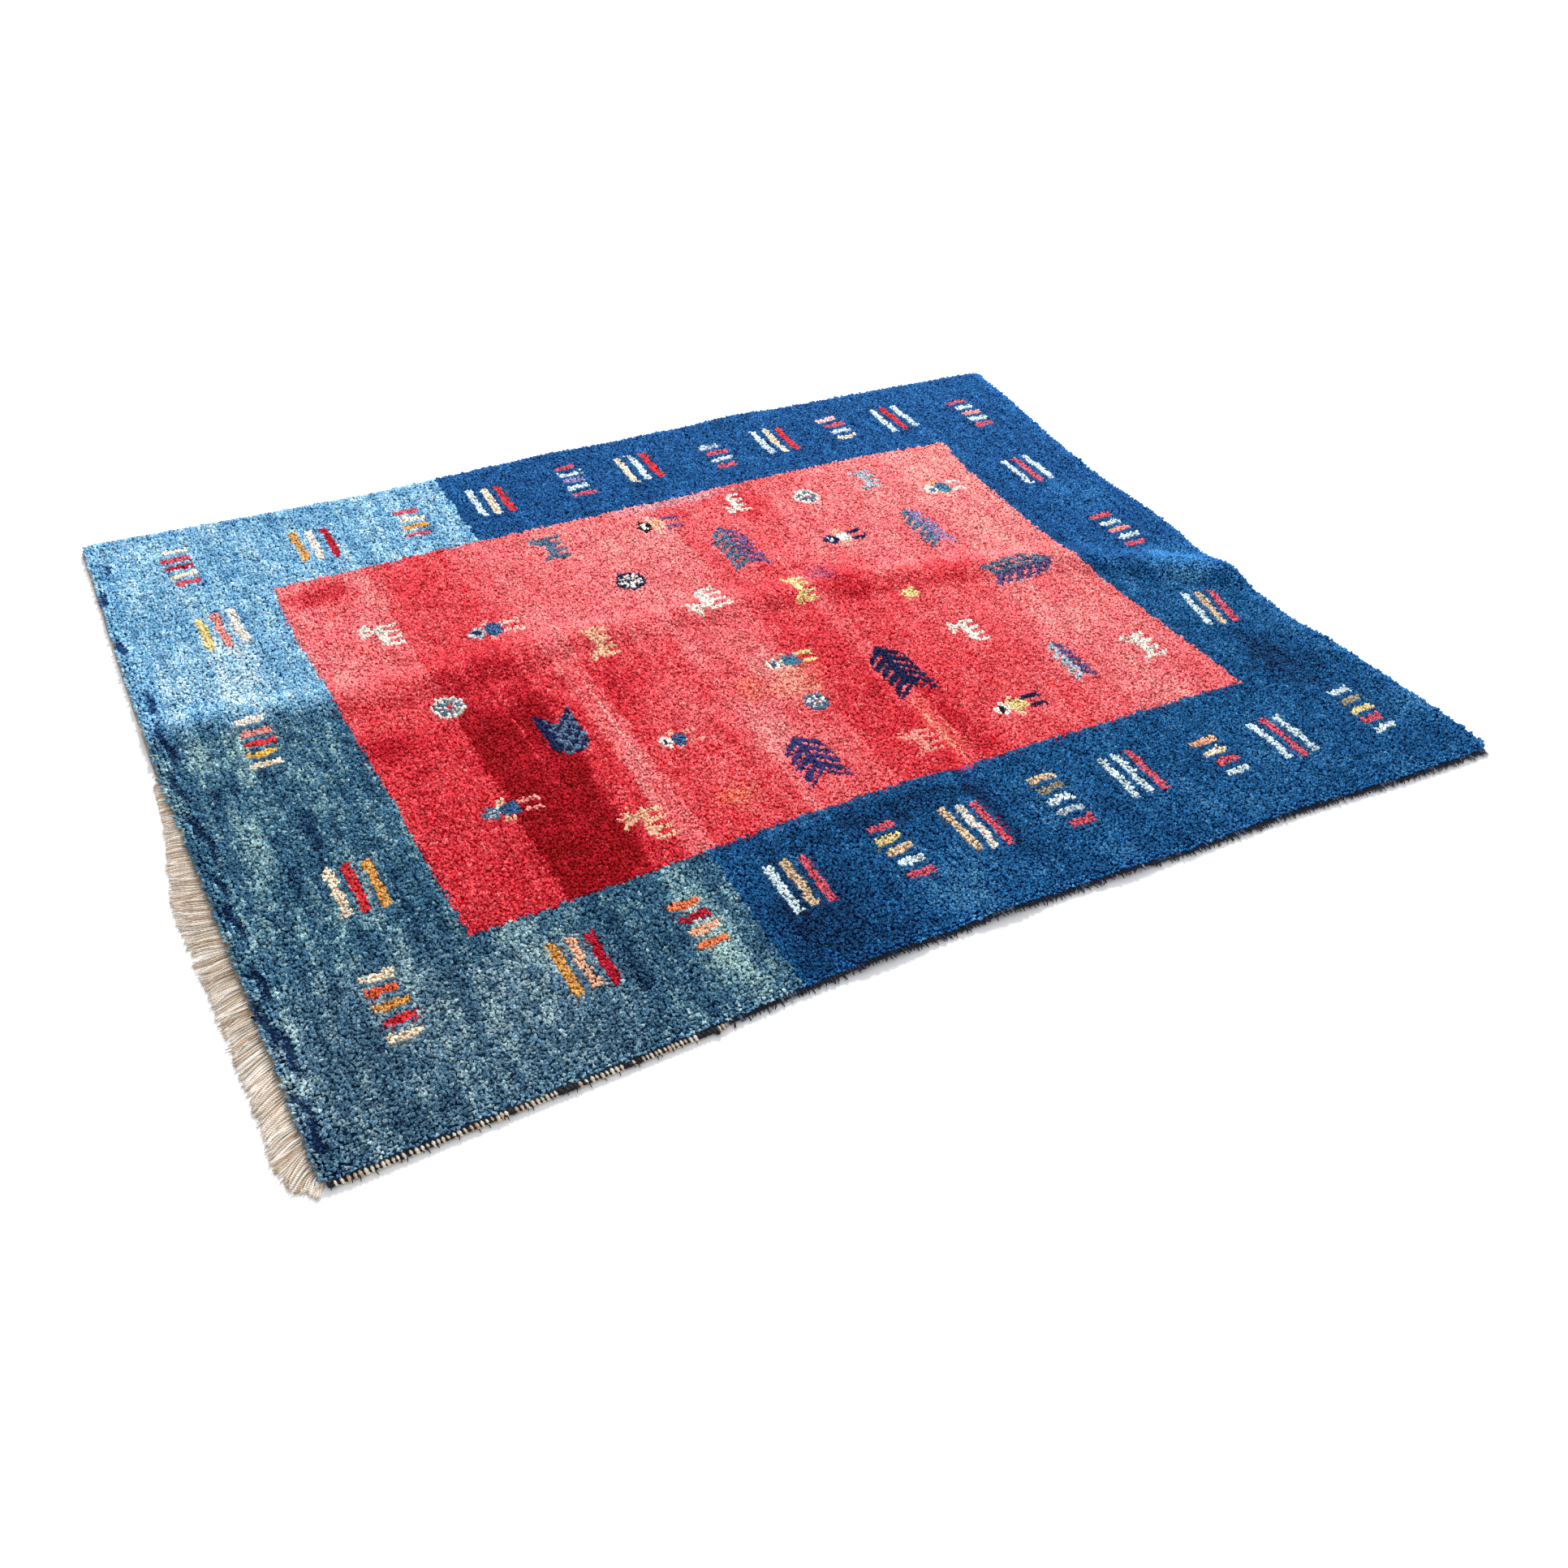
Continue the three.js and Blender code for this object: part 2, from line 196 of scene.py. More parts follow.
# The red field, as far as each of its edges lies from the middle lines.
FIELD_ENDS = rows_of("y left right", """
    -470 680 726
    -369 683 725
    -207 685 715
    -45 689 709
    118 694 706
    361 701 711
    490 694 727
""")
FIELD_SIDES = rows_of("x near far", """
    -690 465 480
    -440 456 486
    -92 440 492
    141 444 496
    374 449 500
    607 453 494
    728 458 487
""")

# Abrash: each dye bath of the red comes out a little lighter or darker, so the field is barred
# across the warp. Shades run from 0, deep crimson, to 1, pale pinkish coral.
REDS = ["#9a0010", "#c61b2e", "#e8444e", "#f6797c", "#faaca4"]
# Each bar's far shade is paler than its near one: painted light past the middle crest.
ABRASH = rows_of("x near far", """
    -700 0.42 0.76
    -537 0.40 0.74
    -531 0.04 0.58
    -455 0.05 0.52
    -395 0.07 0.52
    -388 0.40 0.64
    -341 0.44 0.66
    -336 0.74 0.72
    -294 0.72 0.74
    -288 0.50 0.72
    -200 0.60 0.76
    -122 0.56 0.78
    -115 0.68 0.79
    35 0.64 0.79
    48 0.46 0.60
    150 0.42 0.58
    158 0.58 0.64
    192 0.56 0.66
    200 0.49 0.64
    300 0.57 0.72
    420 0.62 0.78
    560 0.78 0.82
    730 0.74 0.86
""")

# The ground of the border: pale denim from the fringed end to the change of wool, then deep blue.
WOOL_CHANGE = -311
DENIM_ASHY = ["#1a3852", "#587c94", "#b4cacc"]
DENIM_NEAR = ["#12365a", "#42728e", "#aaccca"]
# The far wools here and two lines below are paler copies of the near wools: painted light past the middle
# crest.
DENIM_PAINTED_LIT = ["#3c7cae", "#86bcdc", "#d6ecf6"]
DEEP_NEAR = ["#062046", "#165b92", "#5a98c0"]
DEEP_PAINTED_LIT = ["#0a3468", "#175692", "#3c86c4"]

# Past the middle fold the wool is painted paler, as painted light on the far slope. It turns paler from this
# far before the crest, over this far.
PAINTED_LIGHT_EDGE = dict(before=45, over=60)

# The denim goes ashy towards the near corner of the fringed end.
ASHY = dict(most=0.8, least=0.25, from_y=-400, over_y=160, from_x=-440, over_x=120)

# Soft patches where the nap lies another way or a skein took the dye unevenly, and patches of painted light
# and shade where folds and the middle crest face to or away from the lamp: middle, reach along and across
# the rug, and how far the shade of the ground goes up or down there.
BORDER_NAP_AND_SHADE = rows_of("x y along across shade", """
    -615 -560 85 130 0.26
    -498 -610 30 190 -0.26
    -440 -640 14 150 -0.20
    -370 -600 55 210 0.34
    -800 -175 28 75 -0.18
    -895 -120 30 110 0.16
    -858 -455 18 65 0.16
    -940 -512 9 70 0.30
    -722 -640 30 90 0.12
    -862 -655 60 60 0.10
    -850 -250 40 60 -0.10
    -885 60 80 65 0.30
    -845 270 110 150 0.22
    -932 680 14 30 -0.25
    -790 735 200 22 -0.15
    -10 -672 70 95 0.22
    -215 -650 135 155 -0.26
    -20 -492 240 42 -0.24
    132 -560 30 150 -0.24
    260 -680 60 70 0.10
    -610 700 120 70 -0.16
    955 -650 45 90 0.12
    500 -700 150 50 0.08
    850 -430 75 150 -0.24
    880 -90 85 95 0.40
    860 190 80 120 0.20
    770 -60 40 260 0.08
""")
FIELD_NAP_AND_SHADE = rows_of("x y along across shade", """
    -632 425 75 48 -0.30
    -640 -30 60 45 -0.20
    -465 380 60 80 -0.12
    -455 20 55 70 0.16
    -250 20 120 110 -0.18
    -95 -230 60 85 0.14
    -5 -90 60 80 0.18
    250 85 60 85 -0.26
    205 430 80 70 -0.16
    120 -220 40 90 -0.06
    210 -330 26 150 -0.16
    410 50 150 60 -0.16
    560 -190 90 90 0.08
    -620 150 60 80 0.07
    -310 -90 3 330 0.30
    -452 -95 2.5 140 0.30
    -536 -40 3 120 0.16
    -283 -330 3 90 0.22
    388 -20 3 110 0.20
    520 -120 3 150 0.16
""")


# How steep and uneven the edge of such a patch is, and how large its unevenness.
PATCH_EDGE = dict(steep=1.6, uneven=0.22, size=14)

# The share of the knots that have a paler strand in them.
FLECKED_SHARE = 0.07

# Places where another wool was carded into the red.
MIXED_IN = rows_of("x y along across wool share", """
    20 -140 62 75 peach 0.40
    -210 -355 42 34 orange 0.45
    -60 -120 40 50 orange 0.30
    168 -350 9 100 peach 0.55
    186 -330 4 90 peach 0.40
    90 482 170 20 mist 0.45
    224 133 36 34 plum 0.50
    -625 435 70 40 black 0.18
""")

# Marks in the border. "long" marks are three long bars side by side, and "stack" marks are four or
# five short bars one behind the other, from the far one to the near one. Turns are in degrees.
LONG_BAR = dict(width=14.5, length=104, pitch=28)
SHORT_BAR = dict(width=14.8, length=47, pitch=27.5)
BAR_SWAY = dict(slow=1.0, slow_size=19, quick=0.4, quick_size=7.5, ends=3)
BORDER_MARKS = rows_of("kind x y turn wools", """
    stack -825 612 0 chalk,rose,crimson,cream,rose
    long -806 389 0 straw,salmon,chalk
    stack -828 65 0 chalk,salmon,scarlet,honey,cream
    long -789 -309 0 cream,scarlet,ochre
    stack -814 -538 0 cream,rust,ochre,scarlet,cream
    long -561 -580 0 ochre,peach,crimson
    stack -387 -576 0 orange,crimson,peach,orange
    long -220 -569 0 ice,tan,rose
    stack -48 -568 0 rose,straw,tan,ice,rose
    long 85 -574 0 tan,chalk,rose
    stack 243 -580 0 tan,olive,ice,mist,rose
    long 390 -576 0 ice,ice,rose
    stack 554 -600 0 peach,cream,rose,ice
    long 687 -605 0 ice,rose,ice
    stack 871 -605 0 ice,olive,straw,rose,ice
    stack 865 578 0 rose,ice,salmon,ice,rose
    long 831 318 0 ice,rose,ice
    stack 857 46 0 rose,ice,salmon,ice,rose
    long 839 -249 -14 ice,tan,rose
    long -589 596 0 ochre,chalk,crimson
    stack -403 601 0 rose,cream,ochre,rose
    long -239 623 0 ice,cream,scarlet
    stack -60 634 0 rose,ice,lilac,ice,rose
    long 82 631 0 cream,ice,scarlet
    stack 255 615 0 mist,rose,ice,rose
    long 395 630 0 ice,cream,scarlet
    stack 549 630 0 pink,rose,ice,cream
    long 689 623 0 ice,scarlet,ice
""")

# Figures in the field, charted knot by knot: each line is a row of knots, and the heads of the animals
# and people point to the fringed end. A person has a head, eyes, a neck, arms, a body and legs.
CHARTS = dict(
    goat="""
    ........c...c...
    ........cc.cc...
    .........cccccc.
    .........cc.cccc
    ..........cccc..
    ..........ccc...
    ..ccccccccccc...
    .ccccccccccccc..
    ccccccccccccccc.
    cc..cc..cc..cc..
    cc..cc..cc..cc..
    cc..cc..cc..cc..
    cc..cc..cc..cc..
    .c..cc...c..cc..
    """,
    kid="""
    .............cc.
    cc..........cccc
    .cc........ccc.c
    .ccc......ccc...
    ..ccccccccccccc.
    .cccccccccccccc.
    .cccccccccccccc.
    .cc..cc..cc..cc.
    .cc..cc..cc..cc.
    .cc..cc..cc..cc.
    .cc..cc..cc..cc.
    """,
    hound="""
    cc..........ccc.
    .cc.........cccc
    ..cc.......ccc..
    ..ccccccccccccc.
    .cccccccccccccc.
    .cccccccccccccc.
    .cc..cc..cc..cc.
    .cc..cc..cc..cc.
    .cc..cc..cc..cc.
    .cc..cc..cc..cc.
    """,
    person="""
    .....hhh.....
    ....hhhhh....
    ...hhooohh...
    ...hhooohh...
    ....hhhhh....
    .....nnn.....
    .aaabbbbbaaa.
    aaaabbbbbaaaa
    aa.bbbbbbb.aa
    ...bbbbbbb...
    ...bbbbbbb...
    ....bbbbb....
    ...ll...ll...
    ...ll...ll...
    ...ll...ll...
    ...ll...ll...
    ...ll...ll...
    ...ll...ll...
    ..lll..lll...
    """,
)

# The letters of a person's chart, in the order of their wools below.
PERSON_LETTERS = "honabl"

# Kind, middle, height and width in millimetres, which side is up, and the wools of the chart's letters.
FIGURES = rows_of("kind x y tall wide facing wools", """
    goat -571 269 71 75 1 chalk
    person -387 209 97 68 1 mist,navy,salmon,salmon,blue,pink
    goat -21 138 87 85 -1 chalk
    kid -201 415 60 87 1 slate
    person 22 415 87 73 1 black,chalk,black,pink,peach,plum
    goat 191 427 58 76 -1 chalk
    hound 491 412 52 80 -1 mist
    person 621 323 84 67 1 chalk,slate,chalk,peach,teal,chalk
    person 333 234 85 66 -1 navy,ice,navy,peach,chalk,navy
    kid -245 94 56 85 -1 peach
    kid 158 105 44 87 -1 straw
    person 39 -80 93 57 1 chalk,slate,cream,peach,teal,straw
    goat 371 -129 62 76 1 chalk
    person -229 -195 73 57 1 chalk,navy,cream,salmon,blue,salmon
    person -534 -243 92 55 1 slate,mist,mist,peach,blue,salmon
    goat -365 -358 71 86 1 peach
    kid 123 -364 63 66 1 salmon
    person 330 -347 94 60 1 chalk,black,cream,peach,straw,navy
    kid 638 -298 58 84 1 chalk
""")

# Trees have a trunk and sloping branches, and stand with their tips to the far side or, where tip is
# "end", to the plain end: wide and long in millimetres, and the wools of their two halves.
TREES = rows_of("x y wide long tip wools", """
    123 280 71 158 far slate,plum
    500 204 57 145 far slate,lilac
    578 2 66 158 end slate,plum
    194 -183 76 149 far navy,navy
    -60 -330 74 126 far indigo,indigo
    488 -277 42 117 far mist,plum
""")
BRANCH = dict(pitch=22, share=0.7, slope=0.8, trunk=5, blunt=0.3)

# Rosettes are a ring with petals in it. A rosette without a ring is a plain small flower.
ROSETTES = rows_of("x y across petals ring petal", """
    -110 255 57 8 navy chalk
    342 397 52 5 chalk slate
    -534 31 56 8 chalk slate
    344 16 40 6 none straw
    20 -202 44 5 slate chalk
""")
RING_WIDTH = 6
PETAL = dict(apart=-0.25, depth=0.18, heart=0.24)

# One bush with two points, in two wools knotted as a net.
BUSH = dict(x=-392, y=-101, wide=63, long=120, notch=42, wools=("navy", "slate"))
NET = dict(start=0.55, across=3.4, up=4.1, opening=-0.05)


def bars(colour, x, y, strength):
    """Knots the border marks into the colours at these places."""
    for kind, mark_x, mark_y, turn, wools in map(dict.values, BORDER_MARKS):
        size = LONG_BAR if kind == "long" else SHORT_BAR
        wools = wools.split(",")
        angle = math.radians(turn)
        dx = (x - mark_x) * math.cos(angle) + (y - mark_y) * math.sin(angle)
        dy = (y - mark_y) * math.cos(angle) - (x - mark_x) * math.sin(angle)
        crossing, running = (dx, dy) if kind == "long" else (-dy, dx)
        wander = BAR_SWAY["slow"] * np.sin(running / BAR_SWAY["slow_size"] + mark_x)
        wander += BAR_SWAY["quick"] * np.sin(running / BAR_SWAY["quick_size"] + mark_y)
        for place, wool in enumerate(wools):
            aside = crossing - (place - (len(wools) - 1) / 2) * size["pitch"] - wander
            end_shift = BAR_SWAY["ends"] * math.sin(5 * place + mark_x + mark_y)
            inside = np.abs(aside) < size["width"] / 2
            inside &= np.abs(running - end_shift) < size["length"] / 2
            colour[inside] = WOOL[wool] * strength[inside]


def figures(colour, x, y, strength):
    """Knots the charted figures into the colours at these places."""
    for kind, figure_x, figure_y, tall, wide, facing, wools in map(dict.values, FIGURES):
        chart = CHARTS[kind].split()
        row = np.floor(((x - figure_x) / tall + 0.5) * len(chart)).astype(int)
        column = np.floor((facing * (y - figure_y) / wide + 0.5) * len(chart[0])).astype(int)
        on_chart = (row >= 0) & (row < len(chart)) & (column >= 0) & (column < len(chart[0]))
        row, column = row.clip(0, len(chart) - 1), column.clip(0, len(chart[0]) - 1)
        knots = np.array([list(line) for line in chart])[row, column]
        for letter, wool in zip(PERSON_LETTERS if kind == "person" else "c", wools.split(",")):
            inside = on_chart & (knots == letter)
            colour[inside] = WOOL[wool] * strength[inside]


def trees(colour, x, y, strength):
    """Knots the trees into the colours at these places."""
    for tree in TREES:
        up, aside = y - tree["y"], x - tree["x"]
        if tree["tip"] == "end":
            up, aside = aside, -up
        below_tip = tree["long"] / 2 - up
        down_branch = below_tip - BRANCH["slope"] * np.abs(aside)
        half = tree["wide"] / 2 * np.sqrt(np.clip(below_tip / (BRANCH["blunt"] * tree["long"]), 0, 1))
        foot = tree["long"] - BRANCH["slope"] * tree["wide"] / 2
        branch = (down_branch % BRANCH["pitch"]) < BRANCH["share"] * BRANCH["pitch"]
        trunk = np.abs(aside) < BRANCH["trunk"]
        inside = (np.abs(aside) < half) & (down_branch < foot) & (branch | trunk)
        for side, wool in zip((aside < 0, aside >= 0), tree["wools"].split(",")):
            colour[inside & side] = WOOL[wool] * strength[inside & side]


def rosettes(colour, x, y, strength):
    """Knots the rosettes into the colours at these places."""
    for flower in ROSETTES:
        dx, dy = x - flower["x"], y - flower["y"]
        out, turn = np.hypot(dx, dy), np.arctan2(dy, dx)
        reach = flower["across"] / 2
        wave = np.cos(flower["petals"] * turn)
        in_petal = wave > PETAL["apart"]
        if flower["ring"] == "none":
            inside = out < reach * (1 - PETAL["depth"] + PETAL["depth"] * wave)
            colour[inside] = WOOL[flower["petal"]] * strength[inside]
            continue
        ring = (out < reach) & (out > reach - RING_WIDTH)
        spokes = (out <= reach - RING_WIDTH) & ~in_petal
        petal = (out <= reach - RING_WIDTH) & (out > reach * PETAL["heart"]) & in_petal
        colour[ring | spokes] = WOOL[flower["ring"]] * strength[ring | spokes]
        colour[petal] = WOOL[flower["petal"]] * strength[petal]


def bush(colour, x, y, strength):
    """Knots the bush into the colours at these places."""
    aside, up = x - BUSH["x"], y - BUSH["y"]
    half = BUSH["wide"] / 2
    share = np.clip(np.abs(aside) / half, 0, 1)
    top = BUSH["long"] / 2 - BUSH["notch"] * (1 - share)
    bottom = -BUSH["long"] / 2 + half * (1 - np.sqrt(1 - share * share))
    inside = (np.abs(aside) < half) & (up < top) & (up > bottom)
    mesh = np.sin(aside / NET["across"]) * np.sin(up / NET["up"])
    net = inside & (aside > -half * NET["start"]) & (mesh > NET["opening"])
    colour[inside] = WOOL[BUSH["wools"][0]] * strength[inside]
    colour[net] = WOOL[BUSH["wools"][1]] * strength[net]


def blend_of(colours, share):
    """Linear colours at shares from 0 to 1 of a run of hex colours."""
    stops = np.array([linear(colour) for colour in colours])
    places = np.linspace(0, 1, len(stops))
    return np.stack([np.interp(share, places, stops[:, channel]) for channel in range(3)], axis=-1)


def painted_light_past_crest(x, y):
    """From 0 to 1 across the crest of the middle fold, where the far side is painted paler, as painted light.
    """
    line_x = [MIDDLE_FOLD[0]["x0"]] + [fold["x1"] for fold in MIDDLE_FOLD]
    line_y = [MIDDLE_FOLD[0]["y0"]] + [fold["y1"] for fold in MIDDLE_FOLD]
    return np.clip((y - np.interp(x, line_x, line_y) + PAINTED_LIGHT_EDGE["before"]) / PAINTED_LIGHT_EDGE["over"], 0, 1)


def patch_strength(patch, x, y):
    """From 1 in the middle of a soft patch to 0 outside it, with an uneven edge."""
    away = np.hypot((x - patch["x"]) / patch["along"], (y - patch["y"]) / patch["across"])
    uneven = PATCH_EDGE["uneven"] * mottle(x, y, PATCH_EDGE["size"], 15)
    return np.clip(PATCH_EDGE["steep"] * (1 - away - uneven), 0, 1)


def knot_colours(x, y, seed):
    """The colour of the wool of each knot, from where it is in the design, with painted light and shade of
    the folds.
    """
    chance = np.random.default_rng(seed)
    count = len(x)
    own = chance.normal(0, 1, count)
    fleck = (chance.uniform(0, 1, count) < FLECKED_SHARE) * chance.uniform(0.5, 1, count)
    patches = mottle(x, y, 8, 11) + 0.6 * mottle(x, y, 30, 12)
    skeins = mottle(x, y / 10, 9, 13) + 0.8 * mottle(x, y / 9, 22, 14)
    # lie holds the nap and dye patches together with painted light and shade of the folds and the middle
    # crest.
    lie = sum(patch["shade"] * patch_strength(patch, x, y) for patch in BORDER_NAP_AND_SHADE)

    denim = np.clip(0.45 + 0.12 * own + 0.20 * fleck + 0.16 * patches + 0.18 * skeins + lie, 0, 1)
    deep = np.clip(0.46 + 0.08 * own + 0.08 * fleck + 0.09 * patches + 0.08 * skeins + lie, 0, 1)
    # Past the middle crest the border takes its paler wools: painted light.
    painted_light = painted_light_past_crest(x, y)[:, None]
    into_corner = ASHY["from_y"] - y + 40 * mottle(x, y, 60, 22)
    ashy = ASHY["most"] * np.clip(into_corner / ASHY["over_y"], 0, 1)[:, None]
    ashy *= np.clip((ASHY["from_x"] - x) / ASHY["over_x"], ASHY["least"], 1)[:, None]
    near_denim = blend_of(DENIM_NEAR, denim) * (1 - ashy) + blend_of(DENIM_ASHY, denim) * ashy
    denim = near_denim * (1 - painted_light) + blend_of(DENIM_PAINTED_LIT, denim) * painted_light
    deep = blend_of(DEEP_NEAR, deep) * (1 - painted_light) + blend_of(DEEP_PAINTED_LIT, deep) * painted_light
    colour = np.where((x < WOOL_CHANGE + 4 * mottle(x, y, 12, 16))[:, None], denim, deep)

    # The shade of red, most flecked where it is neither deepest crimson nor pale.
    stations = [bar["x"] for bar in ABRASH]
    bar_place = x + 5 * mottle(x, y, 26, 17) + chance.normal(0, 2, count)
    near_shade = np.interp(bar_place, stations, [bar["near"] for bar in ABRASH])
    far_shade = np.interp(bar_place, stations, [bar["far"] for bar in ABRASH])
    # Towards the far side the shade goes to the paler far column: painted light past the middle crest.
    across = np.clip((y + 40 + 25 * mottle(x, y, 30, 18)) / 230, 0, 1)
    shade = near_shade + (far_shade - near_shade) * across
    # The field's patches hold nap and dye together with painted light and shade of the folds and the crest.
    shade += sum(patch["shade"] * patch_strength(patch, x, y) for patch in FIELD_NAP_AND_SHADE)
    flecked = np.interp(shade, [0.05, 0.22, 0.42, 0.75], [0.015, 0.05, 0.08, 0.035])
    shade += flecked * (own + 1.6 * fleck) + 0.05 * patches + 0.045 * skeins + 0.05 * mottle(x, y, 75, 19)
    red = blend_of(REDS, np.clip(shade, 0, 1))
    red += (WOOL["salmon"] - red) * (3 * flecked * fleck)[:, None].clip(0, 0.3)
    for patch in MIXED_IN:
        share = (patch["share"] * patch_strength(patch, x, y) * chance.uniform(0.3, 1.4, count))[:, None]
        red = red + (WOOL[patch["wool"]] - red) * np.clip(share, 0, 0.9)

    ragged = chance.uniform(-1.6, 1.6, count) + 1.8 * mottle(x, y, 18, 20)
    inside = (
        (x > -read_table(FIELD_ENDS, "y", "left", y) + ragged)
        & (x < read_table(FIELD_ENDS, "y", "right", y) + ragged)
        & (y > -read_table(FIELD_SIDES, "x", "near", x) + ragged)
        & (y < read_table(FIELD_SIDES, "x", "far", x) + ragged)
    )
    colour[inside] = red[inside]

    strength = np.clip(0.96 + 0.05 * own, 0.8, 1.05)[:, None]
    for motif in (bars, figures, trees, rosettes, bush):
        motif(colour, x, y, strength)
    return colour


def painted_shade_between_locks(colour):
    """Painted shade deep between the locks: darker in the blue, and fuller in the red, as light comes there
    through the wool.
    """
    dimmed = np.where(colour[:, 2] > colour[:, 0], 0.35, 1.15)[:, None]
    return dimmed * colour * colour / colour.max(axis=1, keepdims=True)


def dye(mesh, colours):
    """Gives each corner of a mesh the colour of its wool."""
    colours = np.reshape(colours, (-1, 3))
    wool = mesh.color_attributes.new("wool", "FLOAT_COLOR", "POINT")
    wool.data.foreach_set("color", np.c_[colours, np.ones(len(colours))].astype(np.float32).ravel())


def put_corners(mesh, places):
    """Moves the corners of a mesh to these places, given in millimetres."""
    mesh.vertices.foreach_set("co", (places / 1000).astype(np.float32).ravel())


def add_node(tree, kind, links=(), **settings):
    """Adds one node, sets its properties and sockets, and links the given outputs to its inputs."""
    node = tree.nodes.new(kind)
    for name, value in settings.items():
        if name in node.inputs:
            node.inputs[name].default_value = value
        elif name.replace("_", " ") in node.inputs:
            node.inputs[name.replace("_", " ")].default_value = value
        else:
            setattr(node, name, value)
    for socket, output in dict(links).items():
        tree.links.new(output, node.inputs[socket])
    return node


def new_material(name, roughness, sheen, specular=0.3):
    """A material with its Principled shader linked to the output, and the two to build on."""
    material = bpy.data.materials.new(name)
    material.use_nodes = True
    tree = material.node_tree
    shader = tree.nodes["Principled BSDF"]
    shader.inputs["Roughness"].default_value = roughness
    shader.inputs["Sheen Weight"].default_value = sheen
    shader.inputs["Sheen Roughness"].default_value = 0.5
    shader.inputs["Specular IOR Level"].default_value = specular
    return material, tree, shader


def as_piece(name, mesh, material):
    """Puts a finished mesh in the scene as a piece of the rug."""
    piece = bpy.data.objects.new(name, mesh)
    bpy.context.scene.collection.objects.link(piece)
    mesh.materials.append(material)
    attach(piece, "root")
    return piece


# Close to the fringed end the pile parts in a groove, and the cloth in it is painted dark, as painted shade.
GROOVE_REACH = 45
GROOVE_PAINTED_SHADE = (0.15, 0.26, 0.42)

# The cloth's mesh has a corner every so many millimetres.
GRID_STEP = 16
block = bmesh.new()
bmesh.ops.create_grid(
    block,
    x_segments=round(2 * HALF_LENGTH / GRID_STEP),
    y_segments=round(2 * HALF_WIDTH / GRID_STEP),
    size=1,
)
woven_front = bmesh.ops.extrude_face_region(block, geom=block.faces[:], use_keep_orig=True)
bmesh.ops.translate(
    block, vec=(0, 0, 1), verts=[part for part in woven_front["geom"] if isinstance(part, bmesh.types.BMVert)]
)
bmesh.ops.recalc_face_normals(block, faces=block.faces[:])

# The extrusion makes the side faces in no fixed order, so all are put in the order of their middles.
ordered = sorted(block.faces, key=lambda face: tuple(face.calc_center_median()))
place_of = {face: place for place, face in enumerate(ordered)}
block.faces.sort(key=place_of.get)
foundation_mesh = bpy.data.meshes.new("knotted_foundation")
block.to_mesh(foundation_mesh)
block.free()

unit = np.empty(len(foundation_mesh.vertices) * 3, np.float32)
foundation_mesh.vertices.foreach_get("co", unit)
unit = unit.reshape(-1, 3).astype(float)
flat_along = -HALF_LENGTH + SIDE_ROOM + (unit[:, 0] + 1) / 2 * (2 * HALF_LENGTH - SIDE_ROOM - PLAIN_END_ROOM)
flat_across = unit[:, 1] * (HALF_WIDTH - SIDE_ROOM)
on_top = unit[:, 2] > 0.5
places = lay(flat_along, flat_across, np.where(on_top, FOUNDATION_TOP, 0.0))
put_corners(foundation_mesh, places)
root_colours = knot_colours(places[:, 0], places[:, 1], 21)
# The top of the cloth shows between the locks and is painted as their shade.
root_colours[on_top] = painted_shade_between_locks(root_colours[on_top])
in_groove = on_top & (flat_along < -HALF_LENGTH + GROOVE_REACH)
root_colours[in_groove] *= GROOVE_PAINTED_SHADE
dye(foundation_mesh, root_colours)
back = foundation_mesh.attributes.new("back", "FLOAT", "POINT")
back.data.foreach_set("value", (~on_top).astype(np.float32))
foundation_mesh.shade_smooth()
foundation_mesh.set_sharp_from_angle(angle=math.radians(50))

# The cloth's own map, in metres of the flat rug, for the rows of knots on its back.
flat_map = foundation_mesh.uv_layers.new(name="flat_rug")
corner_vertex = np.empty(len(foundation_mesh.loops), np.int32)
foundation_mesh.loops.foreach_get("vertex_index", corner_vertex)
flat_place = np.c_[flat_along, flat_across] / 1000
flat_map.data.foreach_set("uv", flat_place[corner_vertex].astype(np.float32).ravel())

# Hand-knotted wool on cotton, seen from the back: rows of small flat knots 4.9 mm apart with a dull
# cotton weft after each row. It gives the back a fine ribbed grain in softened colours.
knotted_back, tree, shader = new_material("knotted_wool_on_cotton", roughness=0.95, sheen=0.02, specular=0.05)
design = add_node(tree, "ShaderNodeAttribute", attribute_name="wool")
flat = add_node(tree, "ShaderNodeUVMap", uv_map="flat_rug")
knots = add_node(
    tree, "ShaderNodeTexBrick", {"Vector": flat.outputs["UV"]},
    Scale=1.0, Mortar_Size=0.0007, Mortar_Smooth=0.6, Brick_Width=0.0047, Row_Height=0.0049, offset=0.5,
)
fibre = add_node(tree, "ShaderNodeTexNoise", {"Vector": flat.outputs["UV"]}, Scale=900.0, Detail=3.0)
back = add_node(tree, "ShaderNodeAttribute", attribute_name="back")
bare = add_node(
    tree, "ShaderNodeMath", {0: knots.outputs["Fac"], 1: back.outputs["Fac"]}, operation="MULTIPLY",
)
weft = add_node(tree, "ShaderNodeMix", {0: bare.outputs[0], 6: design.outputs["Color"]}, data_type="RGBA")
weft.inputs[7].default_value = (*linear("#8d8478") * 0.5, 1)
tree.links.new(weft.outputs[2], shader.inputs["Base Color"])
grain = add_node(
    tree, "ShaderNodeMath", {0: knots.outputs["Fac"], 1: fibre.outputs["Fac"]}, operation="SUBTRACT",
)
ribs = add_node(
    tree, "ShaderNodeBump", {"Height": grain.outputs[0]}, Strength=0.5, Distance=0.001, invert=True,
)
tree.links.new(ribs.outputs["Normal"], shader.inputs["Normal"])

foundation = as_piece("knotted_foundation", foundation_mesh, knotted_back)
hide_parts("knotted_cloth")

